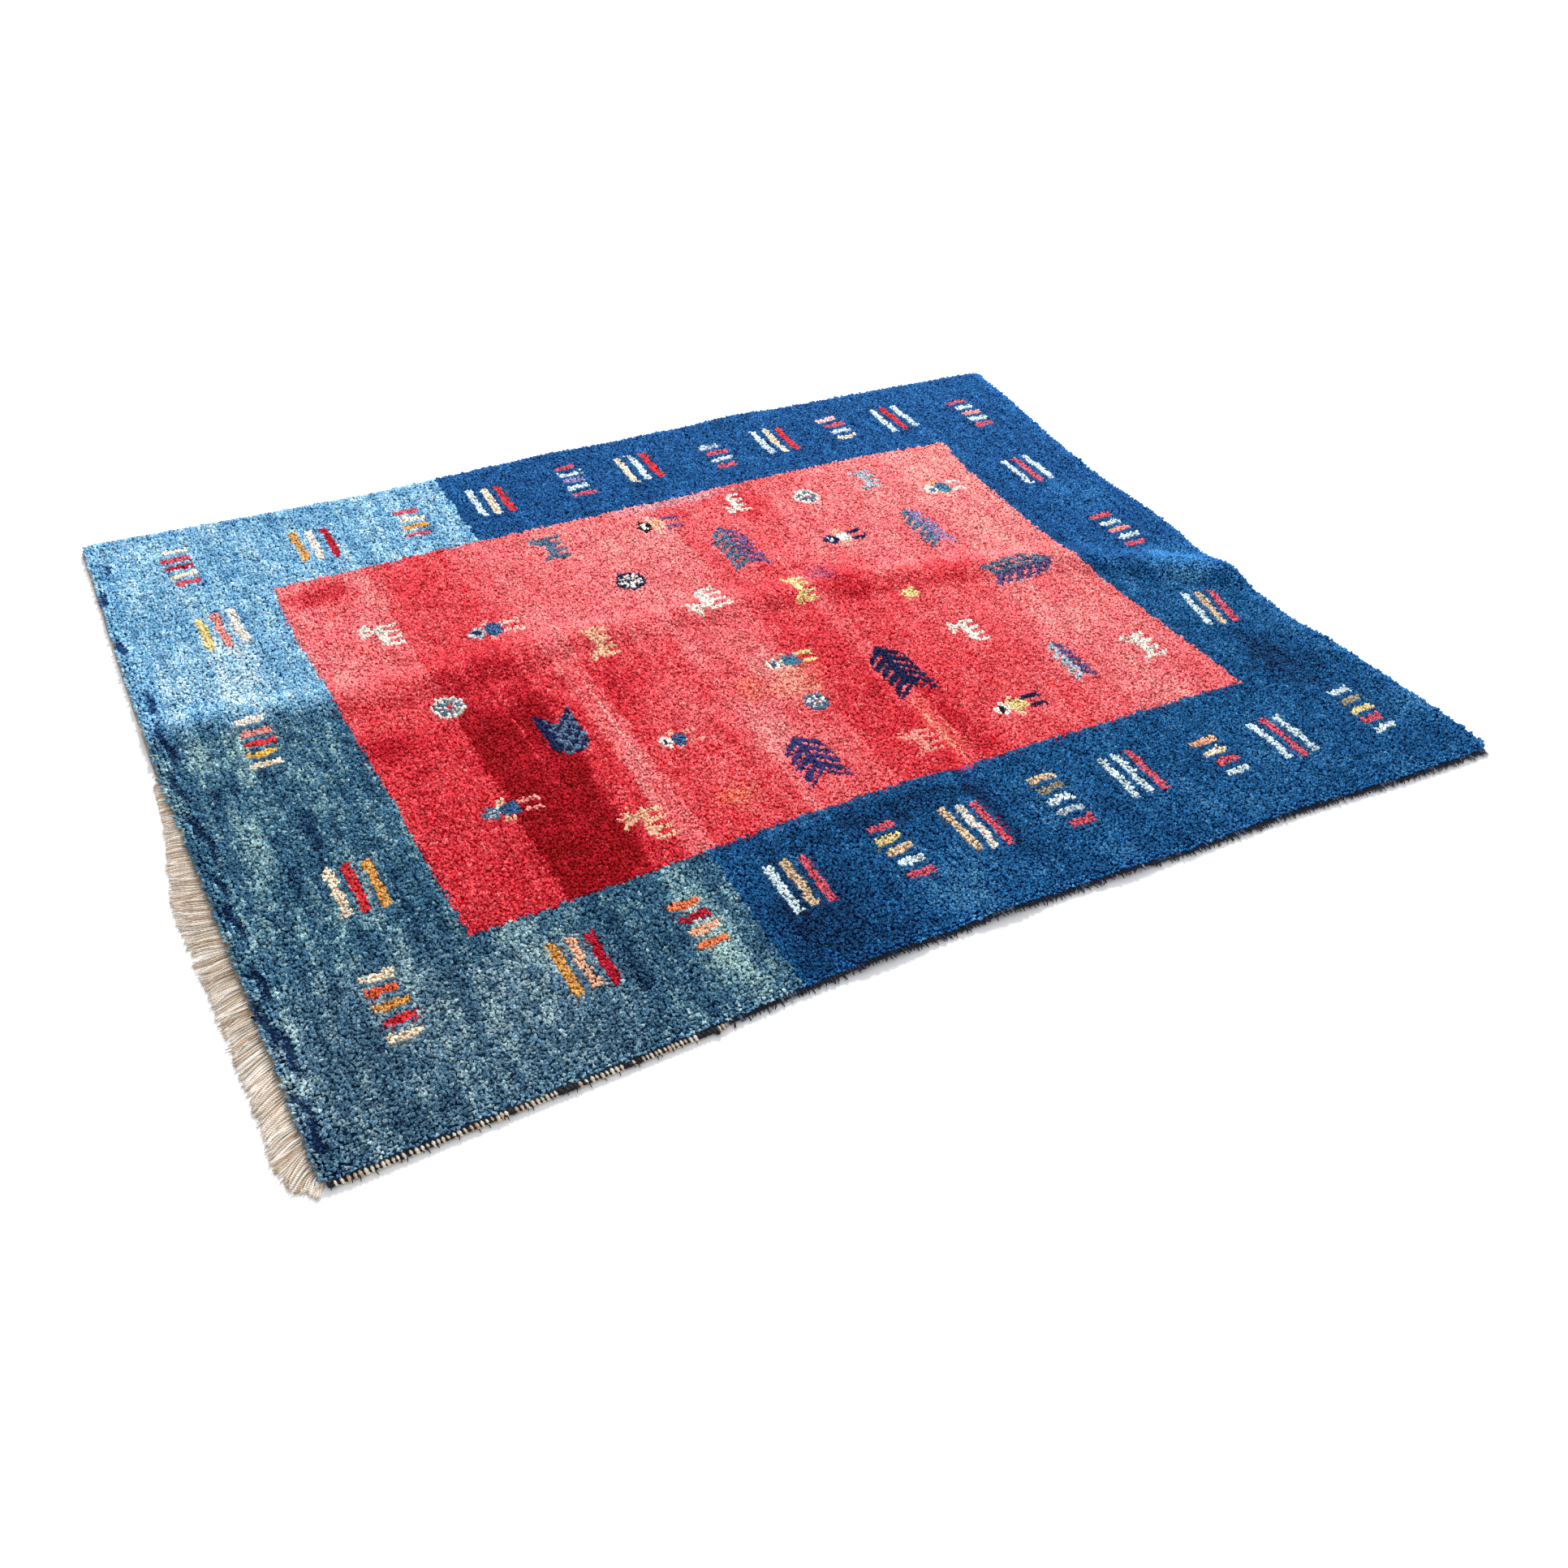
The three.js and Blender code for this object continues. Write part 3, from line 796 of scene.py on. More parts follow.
# The pile: wool knots, one for each few millimetres, whose two cut ends stand up as a small curly lock.
# A row is knotted across the warps, beaten down and clipped, and the locks lean and curl as they please.
# They are made in six stretches of rows, as a weaver works up the loom, each one joined mesh of locks.

# Distance between rows of knots along the rug and between knots across it, in millimetres.
ROW_PITCH = 4.9
KNOT_PITCH = 4.75
STRETCHES = 6
LOCK = dict(root=5.2, belly=10.4, girth=3.95, lean=-1.1, curl=2.8, rooted=0.9)

# Room left past the outermost locks, how unevenly the locks stand, and how far those along each edge
# lean out over the binding.
SPARE = dict(near=0.6, far=2, fringed_end=1.2, plain_end=1)
UNEVEN = dict(place=0.8, height=0.75, pressed_share=0.04, pressed=1.9, tone=0.13)
RIM = dict(width=16, ease=1.6, fringed_end=6.2, plain_end=3.2, near=1.8, far=4.0)

# How much lower the pile is clipped along the rims, and how much paler it is painted there and on
# the lips of the parting, as painted light.
CLIPPED = dict(near=2.6, far=1.6, width=7, under_top=0.3)
PAINTED_EDGE_LIGHT = dict(near_width=12, plain_end_width=30, plain_end_share=0.7, rim=0.5, lip=0.35)

# Old fold lines, where the pile is pressed down.
TROUGHS = rows_of("x0 y0 x1 y1 depth half", """
    878 -560 815 -330 3 45
    105 -690 150 -450 3 45
    150 -450 185 -265 2 40
    -240 -740 -285 -640 2.5 45
""")

# A line close to the fringed end where the pile parts, and gapes down in places, with the locks there painted
# dark as painted shade.
PARTING = dict(along=-957, push=1.1, reach=16, gape=6.0, depth=4.5, faint=0.45)
GAPE_PAINTED_SHADE = (0.92, 0.84, 0.66)
GASHES = rows_of("y long aside", """
    655 50 14
    560 60 -6
    405 60 -10
    228 85 2
    120 130 1
    10 100 -5
    -85 90 -3
    -145 120 8
    -225 70 1
    -300 100 2
    -430 90 4
    -505 130 -7
    -560 120 5
    -645 60 -3
    -695 95 0
""")


def gape(x, y):
    """How far the pile gapes at each place, from 0 to 1, and how hard it is pushed to either side."""
    widest, push = np.zeros(len(x)), np.zeros(len(x))
    line = x - PARTING["along"] - 5 * mottle(0 * x, y, 45, 35)
    push += np.sign(line) * PARTING["faint"] * np.clip(1.2 - np.abs(line) / PARTING["reach"], 0, 1)
    for gash in GASHES:
        middle = PARTING["along"] + gash["aside"] + 3 * np.sin(y / 13 + gash["y"]) + 0.08 * (gash["y"] - y)
        along_it = np.clip(1.8 - 1.8 * np.abs(y - gash["y"]) / (gash["long"] / 2), 0, 1)
        away = x - middle
        widest = np.maximum(widest, along_it * np.clip(1.5 - 1.2 * np.abs(away) / PARTING["gape"], 0, 1))
        stronger = along_it * np.clip(1.4 - np.abs(away) / PARTING["reach"], 0, 1)
        push = np.where(stronger > np.abs(push), np.sign(away) * stronger, push)
    return widest, push


def unevenness(x, y):
    """How far the pile's top stands above its even height, less where it is parted or pressed."""
    height = 0.7 * mottle(x, y, 70, 31) + 0.8 * mottle(x, y, 16, 32)
    for trough in TROUGHS:
        away = beside(trough, x, y)[1]
        height = height - trough["depth"] * swell(away, trough["half"])
    return height - PARTING["depth"] * gape(x, y)[0]


def rim_push(inset, room, reach):
    """How far a lock at this distance inside the edge leans out over the binding."""
    return reach * np.clip(1 - (inset - room) / RIM["width"], 0, 1) ** RIM["ease"]


def stretch_of_locks(name, rows, seed):
    """One joined mesh: five corners and six faces a lock, fat in the middle and pointed at both ends."""
    chance = np.random.default_rng(seed)
    first_knot = -HALF_WIDTH + SIDE_ROOM + SPARE["near"]
    knots = np.arange(first_knot, HALF_WIDTH - SIDE_ROOM - SPARE["far"], KNOT_PITCH)
    along, across = (grid.ravel() for grid in np.meshgrid(rows, knots, indexing="ij"))
    place_row, place_knot = (grid.ravel() for grid in np.meshgrid(
        np.arange(len(rows)), np.arange(len(knots)), indexing="ij"))
    count = len(along)
    along = along + chance.normal(0, UNEVEN["place"], count)
    across = across + chance.normal(0, UNEVEN["place"], count)
    x, y, _ = lay(along, across, 0.0).T
    colour = knot_colours(x, y, seed + 100)

    # Each lock leans a little to the fringed end and curls its own way, together with its neighbours.
    swirl = np.pi * (1.3 * mottle(x, y, 19, 33) + 0.45 * chance.normal(0, 1, count))
    curl = LOCK["curl"] * chance.uniform(0.3, 1.4, count)
    lean_x = LOCK["lean"] + curl * np.cos(swirl)
    lean_y = curl * np.sin(swirl)
    room, plain_room = SIDE_ROOM, PLAIN_END_ROOM
    to_plain_end = rim_push(HALF_LENGTH - along, plain_room, RIM["plain_end"])
    lean_x -= rim_push(along + HALF_LENGTH, room, RIM["fringed_end"]) - to_plain_end
    to_far = rim_push(HALF_WIDTH - across, room, RIM["far"])
    lean_y -= rim_push(across + HALF_WIDTH, room, RIM["near"]) - to_far
    gaping, push = gape(x, y)
    lean_x += PARTING["push"] * push

    rise = PILE_TOP - CLIPPED["under_top"] + unevenness(x, y) + chance.normal(0, UNEVEN["height"], count)
    edge = np.minimum(np.minimum(along + HALF_LENGTH, HALF_LENGTH - along + 4), HALF_WIDTH - np.abs(across))
    lower = np.where(across > 0, CLIPPED["far"], CLIPPED["near"])
    rise -= lower * np.clip(1 - (edge - room) / CLIPPED["width"], 0, 1)
    pressed = chance.uniform(0, 1, count) < UNEVEN["pressed_share"]
    rise = np.clip(rise - UNEVEN["pressed"] * pressed, LOCK["root"] + 2, PILE_TOP + 2.0)
    belly = LOCK["root"] + (LOCK["belly"] - LOCK["root"]) * (rise - LOCK["root"]) / (PILE_TOP - LOCK["root"])

    # Stand the lock square to the cloth where that is lifted in a fold.
    step = 2.0
    slope_x = (lift(x + step, y) - lift(x - step, y)) / (2 * step)
    slope_y = (lift(x, y + step) - lift(x, y - step)) / (2 * step)
    up = np.stack([-slope_x, -slope_y, np.ones(count)], axis=-1)
    up /= np.linalg.norm(up, axis=1, keepdims=True)
    base = np.stack([x, y, lift(x, y)], axis=-1)

    def at(aside_x, aside_y, height):
        tilt = slope_x * aside_x + slope_y * aside_y
        return base + np.stack([aside_x, aside_y, tilt], axis=-1) + up * height[:, None]

    # Wool is soft to the light, so each lock is shaded as a low dome.
    soft = np.repeat(up[:, None], 5, axis=1)
    corners = np.empty((count, 5, 3))
    corners[:, 0] = at(0 * x, 0 * x, np.full(count, LOCK["root"] - LOCK["rooted"]))
    spin = chance.uniform(0, 2 * np.pi, count)
    for side in range(3):
        angle = spin + side * 2 * np.pi / 3
        girth = LOCK["girth"] * chance.uniform(0.8, 1.2, count)
        height = belly + chance.normal(0, 0.5, count)
        out_x, out_y = girth * np.cos(angle), girth * np.sin(angle)
        corners[:, 1 + side] = at(0.55 * lean_x + out_x, 0.55 * lean_y + out_y, height)
        soft[:, 1 + side] += np.stack([np.cos(angle), np.sin(angle), 0 * angle], axis=-1)
    corners[:, 4] = at(lean_x, lean_y, rise)
    soft[:, 4] += np.stack([lean_x, lean_y, 0 * lean_x], axis=-1) / 6

    # Painted shade at the root, where only light that has come through the wool gets in, and painted light
    # a little paler at the tip, on the lips of the groove and along two of the rims.
    depth = np.array([1.0, 0.95, 0.95, 0.95, 1.06])
    lip = np.abs(push) * (gaping < 0.2)
    rim = np.clip(1 - (across + HALF_WIDTH - room) / PAINTED_EDGE_LIGHT["near_width"], 0, 1)
    plain_rim = np.clip(1 - (HALF_LENGTH - along - plain_room) / PAINTED_EDGE_LIGHT["plain_end_width"], 0, 1)
    rim = np.maximum(rim, PAINTED_EDGE_LIGHT["plain_end_share"] * plain_rim)
    # Painted shade where the pile gapes.
    gape_shade = 1 - gaping[:, None] * np.array(GAPE_PAINTED_SHADE)
    dimmed = gape_shade[:, None, :] * ((1 + PAINTED_EDGE_LIGHT["lip"] * lip) * (1 + PAINTED_EDGE_LIGHT["rim"] * rim))[:, None, None]
    shades = colour[:, None, :] * depth[None, :, None] * chance.normal(1, UNEVEN["tone"], (count, 5, 1))
    shades[:, 0] = painted_shade_between_locks(colour)
    shades = shades * dimmed
    shades = np.clip(shades, 0.002, 0.98)

    first = 5 * np.arange(count)[:, None, None]
    pattern = np.array([(4, 1, 2), (4, 2, 3), (4, 3, 1), (0, 2, 1), (0, 3, 2), (0, 1, 3)])
    faces = (first + pattern[None]).reshape(-1, 3)
    mesh = bpy.data.meshes.new(name)
    mesh.vertices.add(5 * count)
    put_corners(mesh, corners)
    mesh.loops.add(faces.size)
    mesh.loops.foreach_set("vertex_index", faces.astype(np.int32).ravel())
    mesh.polygons.add(len(faces))
    mesh.polygons.foreach_set("loop_start", np.arange(0, faces.size, 3, dtype=np.int32))
    mesh.update(calc_edges=True)
    dye(mesh, shades)
    mesh.shade_smooth()
    soft /= np.linalg.norm(soft, axis=2, keepdims=True)
    mesh.normals_split_custom_set_from_vertices(soft.reshape(-1, 3).tolist())

    # Each lock has a small square of the stretch's own map, opened out round its tip.
    star = np.array([(0.5 + 0.24 * math.sin(turn), 0.5 + 0.24 * math.cos(turn))
                     for turn in (0, 2 * math.pi / 3, 4 * math.pi / 3)])
    tip = np.array([0.5, 0.5])
    opened = []
    for face in pattern:
        pair = [star[corner - 1] for corner in face if corner in (1, 2, 3)]
        root = tip + 0.44 * (sum(pair) / 2 - tip) / np.linalg.norm(sum(pair) / 2 - tip)
        opened.append([{0: root, 4: tip}.get(corner, star[(corner - 1) % 3]) for corner in face])
    opened = np.array(opened)[None]
    cell = np.stack([place_row, place_knot], axis=-1)[:, None, None, :]
    squares = (cell + opened) / np.array([len(rows), len(knots)])
    mesh.uv_layers.new(name="OFBake").data.foreach_set("uv", squares.astype(np.float32).ravel())
    return mesh


def spread(tree, value, low, high, to_low, to_high):
    """Turns a value between two bounds into one between two others."""
    spreading = add_node(
        tree, "ShaderNodeMapRange", {"Value": value},
        From_Min=low, From_Max=high, To_Min=to_low, To_Max=to_high,
    )
    return spreading.outputs["Result"]


def to_shader(tree, shader, colour, tone, relief, strength, distance):
    """Links a colour, lighter and darker by its tone, and a relief this deep to the shader."""
    toned = add_node(tree, "ShaderNodeVectorMath", {0: colour, "Scale": tone}, operation="SCALE")
    tree.links.new(toned.outputs["Vector"], shader.inputs["Base Color"])
    bump = add_node(tree, "ShaderNodeBump", {"Height": relief}, Strength=strength, Distance=distance)
    tree.links.new(bump.outputs["Normal"], shader.inputs["Normal"])


# Clipped sheep's wool, hand-spun and loosely twisted: matt, with a faint bloom on the tips, painted
# darker between the locks as painted shade, and uneven in colour because no two skeins take the dye alike.
# Each lock opens into tufts of fibre, drawn 2.4 mm thick, coarser than real ones, to show at all, with
# partings painted dark and tufts painted paler, as painted shade and light.
clipped_wool, tree, shader = new_material("clipped_hand_spun_wool", roughness=0.95, sheen=0.03, specular=0.08)
design = add_node(tree, "ShaderNodeAttribute", attribute_name="wool")
place = add_node(tree, "ShaderNodeTexCoord")
tufts = add_node(
    tree, "ShaderNodeTexVoronoi", {"Vector": place.outputs["Object"]}, Scale=420.0, Randomness=1.0,
)
fibre = add_node(
    tree, "ShaderNodeTexNoise", {"Vector": place.outputs["Object"]}, Scale=600.0, Detail=3.0, Roughness=0.65,
)
loft = add_node(
    tree, "ShaderNodeMath", {0: fibre.outputs["Fac"], 1: tufts.outputs["Distance"]}, operation="SUBTRACT",
)
# The tone: the fibres' grain, with painted shade in the tufts' partings and painted light on the tufts.
streak = spread(tree, loft.outputs[0], -0.35, 0.4, 0.6, 1.54)
fuller = spread(tree, loft.outputs[0], -0.35, 0.4, 1.28, 0.72)
full = add_node(tree, "ShaderNodeGamma", {"Color": design.outputs["Color"], "Gamma": fuller})
to_shader(tree, shader, full.outputs["Color"], streak, loft.outputs[0], 0.5, 0.0012)

first_row = -HALF_LENGTH + SIDE_ROOM + SPARE["fringed_end"]
all_rows = np.arange(first_row, HALF_LENGTH - PLAIN_END_ROOM - SPARE["plain_end"], ROW_PITCH)
for stretch, rows in enumerate(np.array_split(all_rows, STRETCHES), 1):
    name = f"pile_stretch_{stretch}"
    as_piece(name, stretch_of_locks(name, rows, 40 + stretch), clipped_wool)

# Overcast bindings: wool wound round and round the edge warps, turn beside turn, to hold each side.
# Cream yarn for the first stretch from the fringed end, slack enough to show dark gaps, then navy.
# The far side is bound like the near one.

BINDING = dict(height=8.0, warps=3, warp_pitch=2.2, warp_thick=3.6)
BINDING_END = 967
YARN_CHANGE = -437
BINDINGS = [
    dict(name="near_binding_cream", side=-1, start=-BINDING_END, end=YARN_CHANGE - 1, wool="cream"),
    dict(name="near_binding_navy", side=-1, start=YARN_CHANGE, end=BINDING_END, wool="navy"),
    dict(name="far_binding_cream", side=1, start=-BINDING_END, end=YARN_CHANGE - 1, wool="cream"),
    dict(name="far_binding_navy", side=1, start=YARN_CHANGE, end=BINDING_END, wool="navy"),
]
BINDING_WOOLS = dict(
    cream=dict(
        turns=["#f0e4d2", "#e2cfb8", "#cfb49c", "#1c1620"], core="#0c0a10", pitch=6.6, yarn=2.4, slack=0.6,
        width=10.4, centre=0.4, loose=0.06, ends=dict(every=17, reach=5.0, thick=2.2, pale=0.0),
    ),
    navy=dict(
        turns=["#0e1226", "#1c2450", "#141731", "#56627c"], core="#0a0c18", pitch=4.8, yarn=1.6, slack=1.5,
        width=6.2, centre=3.9, loose=0.34, ends=dict(every=4.4, reach=9.0, thick=2.8, pale=0.10),
    ),
)

# Its worn ends: how far from the stretch's ends they begin, how much they stray from even places, lean
# and vary, how far in they are held, and how high up the binding they come out.
WORN_END = dict(
    inset=8, stray=0.4, shortest=0.3, lean=0.45, held=2, lowest=0.35, highest=0.75, colour="#8c96a0",
)


def tube(points, radii, shades, sides):
    """Corner places, faces and colours of a closed tube along points, one radius and colour at each."""
    ahead = np.gradient(points, axis=0)
    ahead /= np.linalg.norm(ahead, axis=1, keepdims=True)
    level = np.cross(ahead, (0, 0, 1.0))
    flat = np.linalg.norm(level, axis=1, keepdims=True)
    level = np.where(flat > 0.05, level / np.maximum(flat, 1e-6), (1.0, 0, 0))
    raised = np.cross(level, ahead)
    turns = 2 * np.pi * np.arange(sides) / sides
    ring = np.cos(turns)[None, :, None] * level[:, None] + np.sin(turns)[None, :, None] * raised[:, None]
    corners = (points[:, None] + ring * np.asarray(radii)[:, None, None]).reshape(-1, 3)
    stations = np.arange(len(points) - 1)[:, None] * sides
    side, after = np.arange(sides), (np.arange(sides) + 1) % sides
    quads = [stations + side, stations + after, stations + sides + after, stations + sides + side]
    last = (len(points) - 1) * sides
    caps = [tuple(reversed(range(sides))), tuple(range(last, last + sides))]
    return corners, np.stack(quads, axis=-1).reshape(-1, 4), caps, np.repeat(shades, sides, axis=0)


def mesh_of_tubes(name, tubes):
    """Joins tubes into one mesh, with their colours."""
    corners, faces, shades, first = [], [], [], 0
    for places, quads, caps, colours in tubes:
        corners.append(places)
        shades.append(colours)
        faces += (quads + first).tolist()
        faces += [[corner + first for corner in cap] for cap in caps]
        first += len(places)
    mesh = bpy.data.meshes.new(name)
    mesh.from_pydata((np.concatenate(corners) / 1000).tolist(), [], faces)
    dye(mesh, np.concatenate(shades))
    mesh.shade_smooth()
    mesh.validate()
    return mesh


def overcast(side, start, end, wool, seed):
    """The yarn's helix round the edge warps, and the warps inside it."""
    chance = np.random.default_rng(seed)
    look = BINDING_WOOLS[wool]
    turns = int((end - start) / look["pitch"])
    steps = 10
    station = np.arange(turns * steps + 1)
    turn = np.minimum(station // steps, turns - 1)
    slack = chance.uniform(-0.3, look["slack"], turns + 1)
    loose = (chance.uniform(0, 1, turns) < look["loose"]) * chance.uniform(1.5, 5, turns)
    shift = np.cumsum(chance.normal(0, 1.1, turns + 1))
    shift -= np.linspace(0, shift[-1], turns + 1)
    angle = 2 * np.pi * station / steps
    round_it = station / steps - turn
    wound_on = np.where(round_it < 0.5, 0.3 * round_it, 0.15 + 1.7 * (round_it - 0.5))
    share = (turn + wound_on) / turns
    slack_here = np.interp(station / steps, np.arange(turns + 1), slack)
    shift_here = np.interp(station / steps, np.arange(turns + 1), shift)
    along = start + look["yarn"] + share * (end - start - 2 * look["yarn"]) + shift_here
    half_wide = look["width"] / 2 - look["yarn"] + slack_here
    half_high = BINDING["height"] / 2 - look["yarn"]
    inset = look["centre"] + half_wide * np.cos(angle) - loose[turn] * np.clip(-np.cos(angle), 0, 1)
    height = BINDING["height"] / 2 + half_high * np.sin(angle)
    points = lay(along, side * (HALF_WIDTH - inset), height)
    stops = np.array([linear(colour) for colour in look["turns"]])
    picked = chance.choice(len(stops), turns, p=[0.44, 0.32, 0.18, 0.06])
    places_of_turns = start + (np.arange(turns) + 0.5) * look["pitch"]
    picked[mottle(places_of_turns, 0 * places_of_turns, 26, seed) > 0.5] = 3
    shades = stops[picked][turn]
    radii = look["yarn"] * chance.uniform(0.72, 1.15, turns)[turn]
    wound = tube(points, radii, shades, 4)
    along = np.linspace(start + 5, end - 5, max(2, int((end - start) / 30)))
    level = np.ones(len(along))
    made = [wound]
    for warp in range(BINDING["warps"]):
        inset = look["centre"] + (warp - (BINDING["warps"] - 1) / 2) * BINDING["warp_pitch"]
        line = lay(along, side * (HALF_WIDTH - inset) * level, BINDING["height"] / 2 * level)
        made.append(tube(line, BINDING["warp_thick"] / 2 * level, linear(look["core"]) * level[:, None], 6))

    # Worn yarn ends that stick out between the turns and hang to the floor.
    ends = look["ends"]
    hang = np.array([0.0, 0.55, 1.0])
    held = WORN_END["held"]
    for root in np.arange(start + WORN_END["inset"], end - WORN_END["inset"], ends["every"]):
        root = root + chance.normal(0, WORN_END["stray"] * ends["every"])
        reach = ends["reach"] * chance.uniform(WORN_END["shortest"], 1.0)
        drift = reach * chance.normal(0, WORN_END["lean"])
        out = HALF_WIDTH - look["centre"] + look["width"] / 2 - held + (reach + held) * hang
        height = chance.uniform(WORN_END["lowest"], WORN_END["highest"])
        height = BINDING["height"] * height * (1 - 0.5 * hang ** 2)
        shade = linear(WORN_END["colour"] if chance.uniform(0, 1) < ends["pale"] else look["core"])
        line = lay(root + drift * hang, side * out, height)
        made.append(tube(line, ends["thick"] / 2 * (1 - 0.5 * hang), shade * np.ones((3, 1)), 3))
    return made


# Hand-spun two-ply wool, wound tight: soft rounded turns, matt, with a fine uneven grain of fibres.
wound_wool, tree, shader = new_material("wound_two_ply_wool", roughness=0.88, sheen=0.15)
design = add_node(tree, "ShaderNodeAttribute", attribute_name="wool")
place = add_node(tree, "ShaderNodeTexCoord")
fibre = add_node(
    tree, "ShaderNodeTexNoise", {"Vector": place.outputs["Object"]}, Scale=700.0, Detail=3.0, Roughness=0.6,
)
streak = spread(tree, fibre.outputs["Fac"], 0.3, 0.7, 0.7, 1.15)
to_shader(tree, shader, design.outputs["Color"], streak, fibre.outputs["Fac"], 0.6, 0.0008)

for number, row in enumerate(BINDINGS):
    name = row["name"] + "_yarn"
    yarn = overcast(row["side"], row["start"], row["end"], row["wool"], 60 + number)
    bound = as_piece(name, mesh_of_tubes(name, yarn), wound_wool)
    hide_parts(row["name"])

# The fringed end: a narrow cotton strip under the last rows of pile, and the warps' ends, which run
# out of it. They are plied white cotton gone beige, in a close mat, swept to the near side on the near
# half and to the far side past it, and worn away on the far half.

STRIP = dict(inner=6.4, outer=-0.4, height=3.0, clear=7.2)
STRAND = dict(thick=2.7, pitch=3.1, root=2.5, bend=1.25, stations=9, sides=4, layers=2, stack=1.7,
              crowd=1.13)
FRINGE = rows_of("y lean length", """
    -757 -58 17
    -742 -50 27
    -720 -42 38
    -680 -33 43
    -600 -27 44
    -460 -21 43
    -375 -13 44
    -290 8 46
    -225 18 45
    -140 13 33
    -60 6 18
    45 2 9
""")
FRINGE_START = -755
FRINGE_STOP = 42
COTTONS = ["#f2e6d6", "#e6d6c4", "#d8c4ae", "#fbf2e6", "#c8b096"]


def warp_ends(seed):
    """A tube for each warp end, in two layers on the floor, blunt at its tip. Neighbours lie alike."""
    chance = np.random.default_rng(seed)
    count = round((FRINGE_STOP - FRINGE_START) / STRAND["pitch"]) + 1
    stops = np.array([linear(colour) for colour in COTTONS])
    share = np.linspace(0, 1, STRAND["stations"])
    made = []
    for layer in range(STRAND["layers"]):
        spread = np.linspace(0, 1, count) ** STRAND["crowd"]
        roots = FRINGE_START + (FRINGE_STOP - FRINGE_START) * spread + chance.normal(0, 0.8, count)
        turn_with = mottle(roots, 0 * roots, 13, 71 + layer) + 0.7 * mottle(roots, 0 * roots, 37, 73 + layer)
        reach_with = mottle(roots, 0 * roots, 18, 75 + layer)
        for across, turned, reached in zip(roots, turn_with, reach_with):
            lean = float(read_table(FRINGE, "y", "lean", across))
            lean = math.radians(lean + 9 * turned + chance.normal(0, 3))
            length = float(read_table(FRINGE, "y", "length", across))
            length *= 0.97 + 0.07 * reached + chance.normal(0, 0.035)
            wave = np.sin(share * (5 + 2 * turned) + 3 * reached) * share + 0.5 * chance.normal() * share
            along = -HALF_LENGTH + STRAND["root"] - share * (length + STRAND["root"]) * math.cos(lean)
            sway = across + length * math.sin(lean) * share ** STRAND["bend"] + 1.7 * wave
            radii = 0.5 * STRAND["thick"] * chance.uniform(0.8, 1.1) * (1 - 0.22 * share ** 4)
            height = radii + STRAND["stack"] * layer * np.clip(1.3 - share, 0.35, 1)
            shade = stops[chance.choice(len(stops))] * chance.uniform(0.9, 1.05)
            # Each strand is painted darker near its root, under the strip and the pile's edge, as painted
            # shade.
            shades = shade[None] * (0.75 + 0.25 * np.clip(share * 4, 0, 1))[:, None]
            made.append(tube(lay(along, sway, height), radii, shades, STRAND["sides"]))
    return made


# Plied cotton, never dyed: dull and dry, off-white to beige with dirt, with a fine slanting twist.
plied_cotton, tree, shader = new_material("plied_cotton_warp", roughness=0.85, sheen=0.08)
design = add_node(tree, "ShaderNodeAttribute", attribute_name="wool")
place = add_node(tree, "ShaderNodeTexCoord")
twist = add_node(
    tree, "ShaderNodeTexWave", {"Vector": place.outputs["Object"]}, Scale=150.0, Distortion=3.0, Detail=1.0,
    bands_direction="DIAGONAL",
)
soil = add_node(tree, "ShaderNodeTexNoise", {"Vector": place.outputs["Object"]}, Scale=60.0, Detail=2.0)
dull = spread(tree, soil.outputs["Fac"], 0.3, 0.7, 0.8, 1.06)
to_shader(tree, shader, design.outputs["Color"], dull, twist.outputs["Fac"], 0.6, 0.0006)

fringe = as_piece("warp_fringe", mesh_of_tubes("warp_fringe", warp_ends(70)), plied_cotton)
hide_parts("end_fringe")

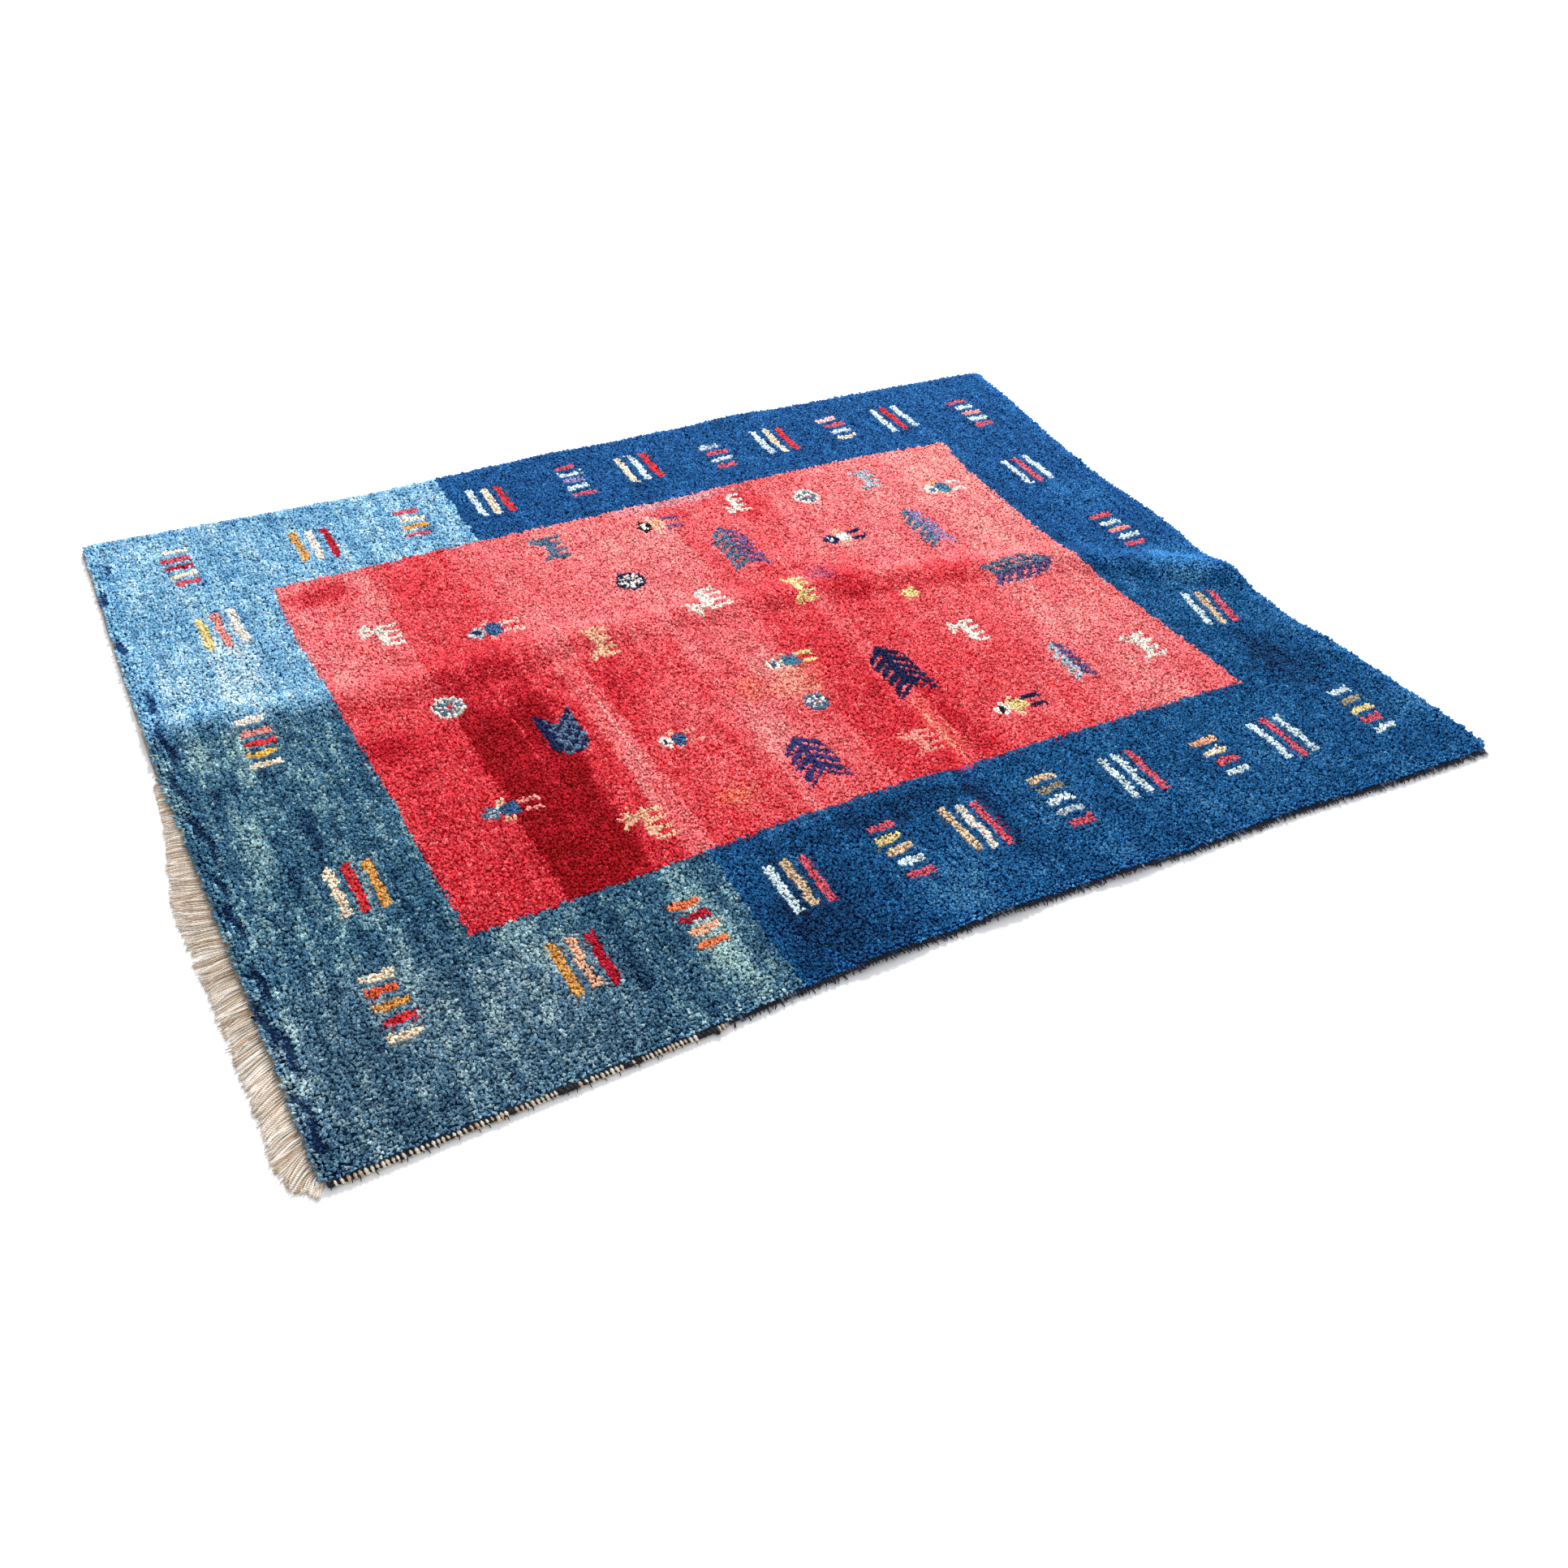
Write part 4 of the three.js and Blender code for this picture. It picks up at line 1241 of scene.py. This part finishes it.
# The strip itself, a flat band as long as the end between the two bindings.
band = bmesh.new()
bmesh.ops.create_cube(band, size=2)
bmesh.ops.subdivide_edges(
    band, edges=[edge for edge in band.edges if abs(edge.verts[0].co.y - edge.verts[1].co.y) > 1], cuts=60,
    use_grid_fill=True,
)
strip_mesh = bpy.data.meshes.new("end_strip")
band.to_mesh(strip_mesh)
band.free()
unit = np.array([vertex.co for vertex in strip_mesh.vertices])
strip_along = -HALF_LENGTH + STRIP["outer"] + (unit[:, 0] + 1) / 2 * (STRIP["inner"] - STRIP["outer"])
strip_height = (unit[:, 2] + 1) / 2 * STRIP["height"]
put_corners(strip_mesh, lay(strip_along, unit[:, 1] * (HALF_WIDTH - STRIP["clear"]), strip_height))
dye(strip_mesh, np.tile(linear("#b9a68e"), (len(unit), 1)))
strip = as_piece("end_strip", strip_mesh, plied_cotton)
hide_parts("end_fringe")

# The studio: a plain pale floor, a soft light from the far right that shows the folds, and an even
# white surrounding. The camera stands to the near left, a little above head height over the rug.

ground = bmesh.new()
bmesh.ops.create_grid(ground, x_segments=1, y_segments=1, size=30)
floor_mesh = bpy.data.meshes.new("floor")
ground.to_mesh(floor_mesh)
ground.free()
floor = bpy.data.objects.new("floor", floor_mesh)
floor.location.z = -0.0004
bpy.context.scene.collection.objects.link(floor)
matt_floor, tree, shader = new_material("matt_white_floor", roughness=0.9, sheen=0.0)
shader.inputs["Base Color"].default_value = (*linear("#f4f4f4"), 1)
floor_mesh.materials.append(matt_floor)

world = bpy.data.worlds.new("studio")
world.use_nodes = True
world.node_tree.nodes["Background"].inputs["Color"].default_value = (*linear("#fbfcff"), 1)
world.node_tree.nodes["Background"].inputs["Strength"].default_value = 0.85
bpy.context.scene.world = world


def soft_light(name, place, aim, size, power):
    """A square soft light, turned to what it lights."""
    lamp = bpy.data.lights.new(name, "AREA")
    lamp.size = size
    lamp.energy = power
    light = bpy.data.objects.new(name, lamp)
    light.location = place
    light.rotation_euler = (Vector(aim) - Vector(place)).to_track_quat("-Z", "Y").to_euler()
    bpy.context.scene.collection.objects.link(light)


soft_light("window", place=(2.4, 6.0, 4.3), aim=(0, 0, 0), size=1.8, power=900)

lens = bpy.data.cameras.new("camera")
lens.lens = 35.106
lens.sensor_width = 36
camera = bpy.data.objects.new("camera", lens)
camera.location = (-1.09995, -1.9042, 1.5382)
camera.rotation_euler = Euler([math.radians(turn) for turn in (49.866, -3.653, -29.031)])
bpy.context.scene.collection.objects.link(camera)
bpy.context.scene.camera = camera
bpy.context.scene.view_settings.view_transform = "Standard"
